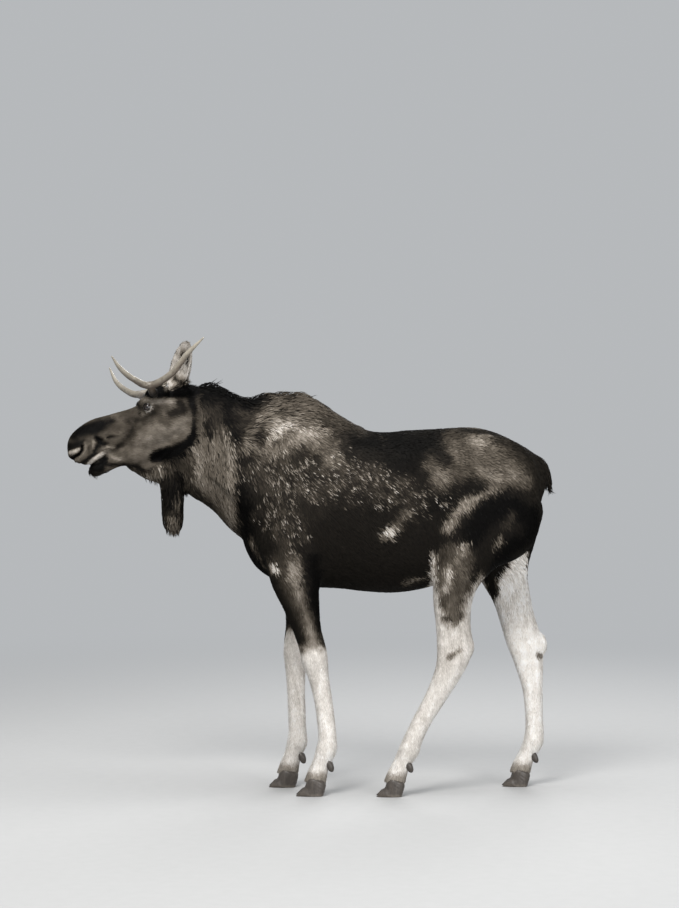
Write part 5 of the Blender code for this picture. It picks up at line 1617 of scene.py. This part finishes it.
def lock_faces(short):
    """A lock's triangles, and where their corners lie in its patch, 0 to 1."""
    left, right, middle = STRIPS[0]
    faces = [(0, 2, 1)]
    patch = [((left, 0), (right, 0), (middle, 0.08 if short else 0.05))]
    if not short:
        for (a, b), (left, right, _) in zip(EDGES, STRIPS, strict=True):
            faces += [(a, b, b + 3), (a, b + 3, a + 3)]
            patch += [((left, 0.06), (right, 0.06), (right, 0.5)), ((left, 0.06), (right, 0.5), (left, 0.5))]
    ring, tip, low = (0, 3, 0.1) if short else (3, 6, 0.52)
    for (a, b), (left, right, middle) in zip(EDGES, STRIPS, strict=True):
        faces.append((a + ring, b + ring, tip))
        patch.append(((left, low), (right, low), (middle, 1)))
    return np.array(faces), np.array(patch, float)


def unwrapped(places, zone, region):
    """Each root's place, 0 to 1 both ways, on the skin peeled off round its own limb's axis.

    Both ears, and both legs of a pair, lie side by side.
    """
    x, y, z = places.T
    if region in ("muzzle", "cheeks"):
        local = zone["local"]
        turn, along = np.arctan2(local[:, 0], local[:, 2] - 0.03), local[:, 1]
    elif region == "ears":
        t, u, hollow = ear_place(places).T
        turn, along = u + EAR_HOLLOW_SHIFT * hollow, t + EAR_PAIR_SHIFT * (x > 0)
    elif region in ("forelegs", "hindlegs"):
        turn, along = np.zeros(len(x)), z
        for name, leg in LEGS.items():
            if not region.startswith(name.split("_")[0]):
                continue
            side = side_of(name)
            rows = np.array(leg["rows"])
            centre_x = np.interp(z, rows[:, 2], rows[:, 0]) * side
            centre_y = np.interp(z, rows[:, 2], rows[:, 1])
            mine = x * side > 0
            turn = np.where(mine, np.arctan2(x - centre_x, y - centre_y) + LEG_PAIR_SHIFT * side, turn)
    elif region == "bell":
        turn, along = np.arctan2(x - 0.018, y + 0.69), z
    elif region == "tail":
        turn, along = np.arctan2(x, y - 0.86), z
    elif region == "neck":
        turn = np.arctan2(x, (z - 1.42) * 0.85 + (y + 0.50) * 0.52)
        along = y * 0.85 - (z - 1.42) * 0.52
    else:
        turn, along = np.arctan2(x, z - 1.15), y
    spots = np.stack([turn, along], axis=1)
    low, high = spots.min(axis=0), spots.max(axis=0)
    return (spots - low) / np.maximum(high - low, 1e-9) * (1 - 2 * PATCH_SIZE)


def lock_mesh(name, points, shades, shading, spots, short):
    """One mesh of many locks, with its colours, its strand coordinates and its OFBake map."""
    faces, patch = lock_faces(short)
    count, corners = points.shape[:2]
    mesh = bpy.data.meshes.new(name)
    triangles = (faces[None] + (np.arange(count) * corners)[:, None, None]).reshape(-1, 3)
    mesh.vertices.add(count * corners)
    mesh.vertices.foreach_set("co", points.astype(np.float32).ravel())
    mesh.loops.add(len(triangles) * 3)
    mesh.loops.foreach_set("vertex_index", triangles.astype(np.int32).ravel())
    mesh.polygons.add(len(triangles))
    mesh.polygons.foreach_set("loop_start", np.arange(0, len(triangles) * 3, 3, dtype=np.int32))
    mesh.update(calc_edges=True)
    obj = linked(name, mesh)
    colour_attribute(obj, shades.reshape(-1, 3))
    strand = np.empty((count, corners, 3), np.float32)
    strand[:, :, :2] = np.array(SHORT_STRAND if short else LONG_STRAND)
    strand[:, :, 2] = RANDOM.random(count)[:, None] * 60
    layer = mesh.attributes.new("strand", "FLOAT_VECTOR", "POINT")
    layer.data.foreach_set("vector", strand.ravel())
    bake = mesh.uv_layers.new(name="OFBake")
    places = spots[:, None, None, :] + patch[None] * PATCH_SIZE
    bake.data.foreach_set("uv", places.astype(np.float32).ravel())
    mesh.polygons.foreach_set("use_smooth", np.ones(len(triangles), bool))
    mesh.normals_split_custom_set_from_vertices(shading.reshape(-1, 3).tolist())
    mesh.materials.append(coat_material())
    return obj


COAT_SLOTS = {"forelegs": "coat_pale", "hindlegs": "coat_pale", "neck": "coat_brown", "bell": "coat_brown"}
COAT_SLOTS |= {"muzzle": "coat_brown", "cheeks": "coat_brown", "ears": "coat_dark", "tail": "coat_brown"}


def make_coat(skin):
    """All the coat's pieces, on a skin that is still in the working frame."""
    triangles = [tuple(face.vertices) for face in skin.data.polygons]
    tree = BVHTree.FromPolygons(places_of(skin).tolist(), triangles)
    for short, count in ((False, LONG_LOCKS), (True, SHORT_LOCKS)):
        places, normals = roots_on(skin, count, short)
        zone = zones(places)
        keep = ~bare(places, zone)
        places, normals = places[keep], normals[keep]
        zone = zones(places)
        kind = regions_of(places, zone)
        points, shades, shading = locks(places, normals, zone, short, tree)
        limit = TRIANGLES_IN_A_PIECE / len(lock_faces(short)[0])
        for region in REGIONS:
            if (region in SHORT_FURRED) != short:
                continue
            mine = np.nonzero(kind == REGIONS.index(region))[0]
            groups = [(region, mine)]
            if len(mine) > limit:
                left = places[mine, 0] > 0
                groups = [(f"{region}_left", mine[left]), (f"{region}_right", mine[~left])]
            for name, group in groups:
                own = {key: value[group] for key, value in zone.items()}
                spots = unwrapped(places[group], own, region)
                made = (points[group], shades[group], shading[group])
                piece = lock_mesh(f"coat_{name}", *made, spots, short)
                settle(piece)
                print("coat piece", name, len(group), len(piece.data.polygons))


# ---------------------------------------------------------------- eyes, antlers and hooves
def make_eye(name, side):
    """An eyeball with its cornea proud, brown iris and wide level pupil."""
    axis, fore, up = eye_axes(side)
    bm = bmesh.new()
    bmesh.ops.create_uvsphere(bm, u_segments=72, v_segments=56, radius=1)
    local = np.array([v.co for v in bm.verts])
    cornea = ramp(local[:, 2], 0.74, 0.90)
    far = EYE_RADIUS * (0.985 + 0.055 * cornea * (local[:, 2] - 0.5))
    off_axis = np.hypot(local[:, 0], local[:, 1])
    bulge = local * far[:, None]
    placed = bulge[:, :1] * fore + bulge[:, 1:2] * up + bulge[:, 2:] * axis
    placed = from_head(placed + eye_centre(side))
    for vert, place in zip(bm.verts, placed, strict=True):
        vert.co = place
    eye = new_object(name, bm)
    iris = ramp(off_axis, 0.74, 0.70) * (local[:, 2] > 0)
    pupil = ramp(np.hypot(local[:, 0] / 0.42, local[:, 1] / 0.20), 1.08, 0.92) * (local[:, 2] > 0)
    around = np.arctan2(local[:, 1], local[:, 0])
    rays = noise(np.stack([around * 9, off_axis * 3, 0 * off_axis], axis=1), 1.0, 31)
    colour = np.tile(np.array((0.018, 0.012, 0.009)), (len(local), 1))
    brown = np.array((0.022, 0.0105, 0.0045)) * (1 + 0.40 * rays)[:, None]
    colour += (brown - colour) * iris[:, None]
    limbus = ramp(np.abs(off_axis - 0.71), 0.06, 0.0) * (local[:, 2] > 0)
    colour *= (1 - 0.7 * limbus)[:, None]
    colour += (np.array((0.002, 0.002, 0.003)) - colour) * pupil[:, None]
    dress(eye, np.clip(colour, 0.001, 1), eye_material())
    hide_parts(name)


def make_lid_rim(side_name):
    """The dark bare margin of both lids, round the eye's opening."""
    side = SIDES[side_name]
    out, fore, up = eye_axes(side)
    steps, sides = 96, 14
    loops = []
    bm = bmesh.new()
    path = []
    for k in range(steps):
        turn = 2 * math.pi * k / steps
        ahead = EYE_OPEN[0] * math.cos(turn)
        above = EYE_OPEN_RISE + EYE_OPEN[1] * power(math.sin(turn), 1.5)
        proud = math.sqrt(max(0, (1 + LID / 2) ** 2 - ahead * ahead - above * above))
        path.append(eye_centre(side) + EYE_RADIUS * (ahead * fore + above * up + proud * out))
    path = np.array(path)
    middle = path.mean(axis=0)
    for k in range(steps):
        along = unit((path[(k + 1) % steps] - path[k - 1])[None])[0]
        outward = path[k] - middle
        outward = unit((outward - along * (along @ outward))[None])[0]
        other = np.cross(along, outward)
        loop = []
        for j in range(sides):
            turn = 2 * math.pi * j / sides
            reach = outward * (0.25 + math.cos(turn)) + other * math.sin(turn)
            loop.append(bm.verts.new(from_head(path[k] + LID_RIM_RADIUS * reach)))
        loops.append(loop)
    for k in range(steps):
        for j in range(sides):
            a, b = loops[k], loops[(k + 1) % steps]
            bm.faces.new((a[j], a[(j + 1) % sides], b[(j + 1) % sides], b[j]))
    rim = new_object(f"lid_rim_{side_name}", bm)
    places = places_of(rim)
    shade = 0.010 * (1 + 0.4 * noise(places, 0.002, 33))
    dress(rim, np.stack([shade * 1.15, shade, shade * 0.9], axis=1), eye_material())


def bone_tube(points, radii, rings, sides=24):
    """A round closed tube along points in space, its section frame carried along."""
    rows = smooth_rows([(*p, r) for p, r in zip(points, radii, strict=True)], rings)
    tangents = np.gradient(rows[:, :3], axis=0)
    bm = bmesh.new()
    loops = []
    across = Vector((0, 0, 1))
    for row, tangent in zip(rows, tangents, strict=True):
        along = Vector(tangent).normalized()
        across = (across - along * along.dot(across)).normalized()
        other = along.cross(across)
        loop = []
        for k in range(sides):
            turn = 2 * math.pi * k / sides
            reach = across * math.cos(turn) + other * math.sin(turn)
            loop.append(bm.verts.new(Vector(row[:3]) + reach * row[3]))
        loops.append(loop)
    stack(bm, loops)
    return bm


ANTLER_VOXEL = 0.0017
IVORY = np.array((0.215, 0.194, 0.158))
ANTLER_BROWN = np.array((0.060, 0.043, 0.030))


def make_antler(side_name):
    """Beam and crescent of one antler, with its pearled burr, gutters and polished tips."""
    side = SIDES[side_name]
    points = [Vector(p) for p in ANTLERS[side_name]]
    tip, thick = TINE_TIP_RADIUS, TINE_RADIUS
    radii = (tip * 0.75, thick * 0.74, thick * 0.95, thick * 1.12, thick, thick * 0.8, tip * 0.75)
    root = head_frame() @ Vector((0.040 * side, -0.122, 0.105))
    burr = head_frame() @ Vector((0.084 * side, -0.126, 0.143))
    middle = (burr + points[3]) / 2 + Vector((0, 0, -0.010))
    beam_path = [root, burr, burr.lerp(middle, 0.35), middle, points[3]]
    wide = BEAM_RADIUS
    beam_radii = (wide * 1.05, wide * 1.24, wide * 1.05, wide, wide * 0.9)
    knot = bmesh.new()
    bmesh.ops.create_icosphere(knot, subdivisions=3, radius=thick * 1.22)
    knot.transform(Matrix.Translation(points[3]))
    parts = [bone_tube(points, radii, 90), bone_tube(beam_path, beam_radii, 40), knot]
    antler = new_object(f"antler_{side_name}", join(parts))
    fuse(antler, ANTLER_VOXEL)
    easing = antler.modifiers.new("easing", "SMOOTH")
    easing.iterations = 12
    apply(antler)
    places, normals = places_of(antler), normals_of(antler)
    crescent = np.array([tuple(p) for p in smooth_rows(ANTLERS[side_name], 60)])
    steps = np.concatenate([[0], np.cumsum(np.linalg.norm(np.diff(crescent, axis=0), axis=1))])
    nearest = np.argmin(np.linalg.norm(places[:, None] - crescent[None], axis=2), axis=1)
    along = steps[nearest]
    tangents = unit(np.gradient(crescent, axis=0))[nearest]
    away = away_from(places, burr)
    on_beam = ramp(away_from(places, points[3]), 0.020, 0.045)
    on_beam *= beyond(places, [(*burr, 0.030), (*middle, 0.025)]) < 0.004
    beam_way = unit(np.array([tuple(points[3] - burr)]))
    ways = tangents + (beam_way - tangents) * on_beam[:, None]
    round_place = places - ways * np.sum(places * ways, axis=1, keepdims=True)
    stretched = round_place + ways * (np.sum(places * ways, axis=1, keepdims=True) / 9)
    gutter = noise(stretched, 0.0075, 41) + 0.6 * noise(stretched, 0.0035, 42)
    ends = np.minimum(along, steps[-1] - along)
    rough = ramp(ends, 0.05, 0.16)
    pearls = np.clip(noise(places, 0.0065, 43) * 1.6, 0, 1) * ramp(away, 0.085, 0.02)
    crown_ring = ramp(np.abs((places - np.array(burr)) @ beam_way[0] - 0.004), 0.009, 0.0)
    push = 0.0006 * gutter * rough + 0.0030 * pearls + 0.0030 * crown_ring * (away < 0.040)
    move_points(antler, places + normals * push[:, None])
    shade = ramp(ends, 0.20, 0.02) * 0.25 + 0.62
    stain_and_shade = 0.95 * ramp(away, 0.16, 0.08) + 0.18 * rough + 0.32 * np.clip(-gutter, 0, 1) * rough
    # Painted shade: the antler is darker where it faces down, less so at the polished tips.
    stain_and_shade += 0.62 * ramp(-normals[:, 2], 0.0, 0.8) * (0.3 + 0.7 * rough)
    colour = IVORY * (0.75 + 0.35 * shade)[:, None]
    colour += (ANTLER_BROWN - colour) * np.clip(stain_and_shade, 0, 0.9)[:, None]
    # Painted light: the rear part of the crescent is made lighter, as it faces the light.
    colour *= (1 + 0.35 * ramp(along, 0.5 * steps[-1], 0.7 * steps[-1]))[:, None]
    colour *= (1 - 0.95 * ramp(away, 0.105, 0.060))[:, None]
    dress(antler, np.clip(colour, 0, 0.85), antler_material())
    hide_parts(*[f"antler_{side_name}_{part}" for part in ("beam", "front_tine", "rear_tine")])


HORN = np.array((0.050, 0.041, 0.034))
WORN_HORN = np.array((0.115, 0.098, 0.080))
DEWCLAW_HORN = np.array((0.046, 0.038, 0.032))
HORN_RING = 0.0062  # from one growth ring of the wall to the next
DEWCLAW_RING = 0.0050
DEWCLAW_RADII = (0.0115, 0.014, 0.026)
DEWCLAW_TILT = math.radians(24)
DEWCLAW_PLACE = (0.021, 0.077, 0.122)  # across and behind the foot's middle, and up
HIND_SCALE = 0.93  # of a hind claw to a fore claw
TOE_SLOPE = 0.865  # how far the toe's front lies back for its height
LOFT_SLOPE = 1.32  # how far the wall lies back, as lofted, for its height over LOFT_FOOT
LOFT_FOOT = 0.031


def streaked(colour, places, streak):
    """One colour over all the places, made lighter and darker by a streak from -1 to 1."""
    return np.tile(colour, (len(places), 1)) * (1 + 0.30 * streak)[:, None]


def make_claw(name, x, y, scale):
    """One half of a cloven hoof: ringed wall, pointed toe, flat sole."""
    wide, tall = CLAW_HALF_WIDTH * scale, CLAW_HEIGHT
    sides = 44
    bm = tube(
        [
            (x, y, 0.000, wide, 0.067 * scale, 0.046 * scale, 1.7, 2.4),
            (x, y + 0.010, tall * 0.5, wide, 0.052 * scale, 0.046 * scale, 1.8, 2.2),
            (x, y + 0.021, tall, wide * 0.92, 0.034 * scale, 0.042 * scale, 2.0, 2.0),
            (x, y + 0.024, tall * 1.14, wide * 0.66, 0.022 * scale, 0.030 * scale, 2.0, 2.0),
            (x, y + 0.027, tall * 1.3, wide * 0.40, 0.012 * scale, 0.018 * scale, 2.0, 2.0),
        ],
        rings=34,
        sides=sides,
    )
    bm.verts.ensure_lookup_table()
    for vert in bm.verts[:sides]:
        vert.co.z = 0.0
    claw = new_object(name, bm)
    places, normals = places_of(claw), normals_of(claw)
    toe = places[:, 1].min()
    height = np.maximum(places[:, 2], 0)
    lofted = LOFT_SLOPE * np.maximum(height - LOFT_FOOT, 0)
    lean = np.maximum(TOE_SLOPE * height - lofted, 0) * ramp(places[:, 1] - toe, 0.080, 0.010)
    places[:, 1] += lean
    wall = ramp(places[:, 2], 0.004, 0.010) * ramp(places[:, 2], 0.062, 0.052)
    slope = places[:, 2] + 0.25 * (places[:, 1] - y)
    turns = slope / HORN_RING * 2 * math.pi + 1.3 * noise(places, 0.02, 51)
    rings_push = 0.00055 * np.sin(turns) * wall
    moved = places + normals * rings_push[:, None]
    moved[:, 2] = np.maximum(moved[:, 2], 0)  # the sole is flat on the floor
    move_points(claw, moved)
    worn = ramp(places[:, 2], 0.016, 0.002)
    streak = noise(places / np.array((0.003, 0.003, 0.030)), 1.0, 52)
    colour = streaked(HORN, places, streak)
    colour += (WORN_HORN - colour) * (0.8 * worn)[:, None]
    dress(claw, np.clip(colour, 0.004, 1), hoof_material())
    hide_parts(name)


def make_dewclaw(name, x, y, z):
    """One of the two small horny toes behind the pastern."""
    bm = bmesh.new()
    bmesh.ops.create_uvsphere(bm, u_segments=28, v_segments=18, radius=1)
    turn = Matrix.Rotation(DEWCLAW_TILT, 4, "X")
    bm.transform(Matrix.Translation((x, y, z)) @ turn @ Matrix.Diagonal((*DEWCLAW_RADII, 1)))
    dewclaw = new_object(name, bm)
    places, normals = places_of(dewclaw), normals_of(dewclaw)
    push = 0.0005 * np.sin(places[:, 2] / DEWCLAW_RING * 2 * math.pi)
    move_points(dewclaw, places + normals * push[:, None])
    colour = streaked(DEWCLAW_HORN, places, noise(places, 0.004, 53))
    dress(dewclaw, np.clip(colour, 0.004, 1), hoof_material())
    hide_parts(name)


def make_feet():
    """Two claws and two dewclaws on each foot."""
    apart, behind, up = DEWCLAW_PLACE
    for leg, (x, y) in FEET.items():
        side = side_of(leg)
        scale = 1.0 if leg.startswith("fore") else HIND_SCALE
        for half, way in (("inner", -1), ("outer", 1)):
            across = side * (x + way * CLAW_SPREAD * scale)
            make_claw(f"hoof_{leg}_{half}", across, y, scale)
            make_dewclaw(f"dewclaw_{leg}_{half}", side * (x + way * apart), y + behind, up)


# ---------------------------------------------------------------- materials
def nodes_for(name):
    """A new node material: (material, nodes, links, shader)."""
    made = bpy.data.materials.new(name)
    made.use_nodes = True
    tree = made.node_tree
    return made, tree.nodes, tree.links, tree.nodes["Principled BSDF"]


def toned(nodes, links, factor):
    """The point colours multiplied by a factor socket."""
    tone = nodes.new("ShaderNodeAttribute")
    tone.attribute_name = "tone"
    mix = nodes.new("ShaderNodeVectorMath")
    mix.operation = "SCALE"
    links.new(tone.outputs["Color"], mix.inputs[0])
    links.new(factor, mix.inputs["Scale"])
    return mix.outputs["Vector"]


def spread(nodes, links, source, low, high):
    """A noise output, nearly all of it from 0.28 to 0.72, as low to high."""
    change = nodes.new("ShaderNodeMapRange")
    ends = {"From Min": 0.28, "From Max": 0.72, "To Min": low, "To Max": high}
    for name, value in ends.items():
        change.inputs[name].default_value = value
    links.new(source, change.inputs["Value"])
    return change.outputs["Result"]


def grain_noise(nodes, links, vector, scale, stretch=None, detail=3):
    """A noise of that scale, which may be stretched along some axes."""
    texture = nodes.new("ShaderNodeTexNoise")
    texture.inputs["Scale"].default_value = scale
    texture.inputs["Detail"].default_value = detail
    if stretch:
        pull = nodes.new("ShaderNodeVectorMath")
        pull.operation = "MULTIPLY"
        pull.inputs[1].default_value = stretch
        links.new(vector, pull.inputs[0])
        vector = pull.outputs["Vector"]
    links.new(vector, texture.inputs["Vector"])
    return texture.outputs["Fac"]


def bump(nodes, links, height, strength, distance):
    """A fine relief."""
    made = nodes.new("ShaderNodeBump")
    made.inputs["Strength"].default_value = strength
    made.inputs["Distance"].default_value = distance
    links.new(height, made.inputs["Height"])
    return made.outputs["Normal"]


@cache
def coat_material():
    """Locks of hair: point colours, with strands drawn along each lock."""
    made, nodes, links, shader = nodes_for("moose_coat")
    strand = nodes.new("ShaderNodeAttribute")
    strand.attribute_name = "strand"
    hairs = grain_noise(nodes, links, strand.outputs["Vector"], 1.0, (3.4, 0.9, 1.0), 2)
    links.new(toned(nodes, links, spread(nodes, links, hairs, 0.86, 1.14)), shader.inputs["Base Color"])
    links.new(bump(nodes, links, hairs, 0.45, 0.0010), shader.inputs["Normal"])
    links.new(spread(nodes, links, hairs, 0.72, 0.58), shader.inputs["Roughness"])
    shader.inputs["Specular IOR Level"].default_value = 0.055
    return made


def skin_material():
    """Short fur and skin under the locks: point colours, grained."""
    made, nodes, links, shader = nodes_for("moose_skin")
    where = nodes.new("ShaderNodeTexCoord").outputs["Object"]
    fine = grain_noise(nodes, links, where, 420, (1, 1, 0.45), 3)
    broad = grain_noise(nodes, links, where, 90, None, 2)
    factor = nodes.new("ShaderNodeMath")
    factor.operation = "MULTIPLY"
    links.new(spread(nodes, links, fine, 0.72, 1.28), factor.inputs[0])
    links.new(spread(nodes, links, broad, 0.88, 1.12), factor.inputs[1])
    links.new(toned(nodes, links, factor.outputs["Value"]), shader.inputs["Base Color"])
    links.new(bump(nodes, links, fine, 0.5, 0.0012), shader.inputs["Normal"])
    links.new(spread(nodes, links, fine, 0.72, 0.56), shader.inputs["Roughness"])
    shader.inputs["Specular IOR Level"].default_value = 0.10
    return made


@cache
def antler_material():
    """Bone, a little polished: point colours, with a fine grain."""
    made, nodes, links, shader = nodes_for("moose_antler")
    where = nodes.new("ShaderNodeTexCoord").outputs["Object"]
    broad = grain_noise(nodes, links, where, 45, None, 4)
    fine = grain_noise(nodes, links, where, 600, None, 3)
    links.new(toned(nodes, links, spread(nodes, links, broad, 0.80, 1.16)), shader.inputs["Base Color"])
    links.new(bump(nodes, links, fine, 0.25, 0.0004), shader.inputs["Normal"])
    links.new(spread(nodes, links, broad, 0.52, 0.34), shader.inputs["Roughness"])
    return made


@cache
def hoof_material():
    """Horn, its grain drawn out along the wall."""
    made, nodes, links, shader = nodes_for("moose_hoof")
    where = nodes.new("ShaderNodeTexCoord").outputs["Object"]
    grainy = grain_noise(nodes, links, where, 260, (1, 1, 0.22), 3)
    broad = grain_noise(nodes, links, where, 60, None, 2)
    links.new(toned(nodes, links, spread(nodes, links, grainy, 0.75, 1.25)), shader.inputs["Base Color"])
    links.new(bump(nodes, links, grainy, 0.4, 0.0006), shader.inputs["Normal"])
    links.new(spread(nodes, links, broad, 0.56, 0.36), shader.inputs["Roughness"])
    return made


@cache
def eye_material():
    """Wet and glossy: point colours, nearly even."""
    made, nodes, links, shader = nodes_for("moose_eye")
    where = nodes.new("ShaderNodeTexCoord").outputs["Object"]
    fibres = grain_noise(nodes, links, where, 900, None, 2)
    links.new(toned(nodes, links, spread(nodes, links, fibres, 0.85, 1.15)), shader.inputs["Base Color"])
    shader.inputs["Roughness"].default_value = 0.09
    shader.inputs["Specular IOR Level"].default_value = 0.90
    return made


# ---------------------------------------------------------------- everything
# The CAD's solids that the one skin stands for.
FLESH_NODES = ["head", "lower_jaw", "bell", "neck", "trunk", "tail", "ear_left", "ear_right"]
FLESH_NODES += [f"{leg}_{part}" for leg in LEGS for part in ("upper", "lower")]

stage()
SKIN = make_skin()
make_coat(SKIN)
settle(SKIN)
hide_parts(*FLESH_NODES)
for side_name, side_sign in SIDES.items():
    make_eye(f"eye_{side_name}", side_sign)
    make_lid_rim(side_name)
    make_antler(side_name)
make_feet()
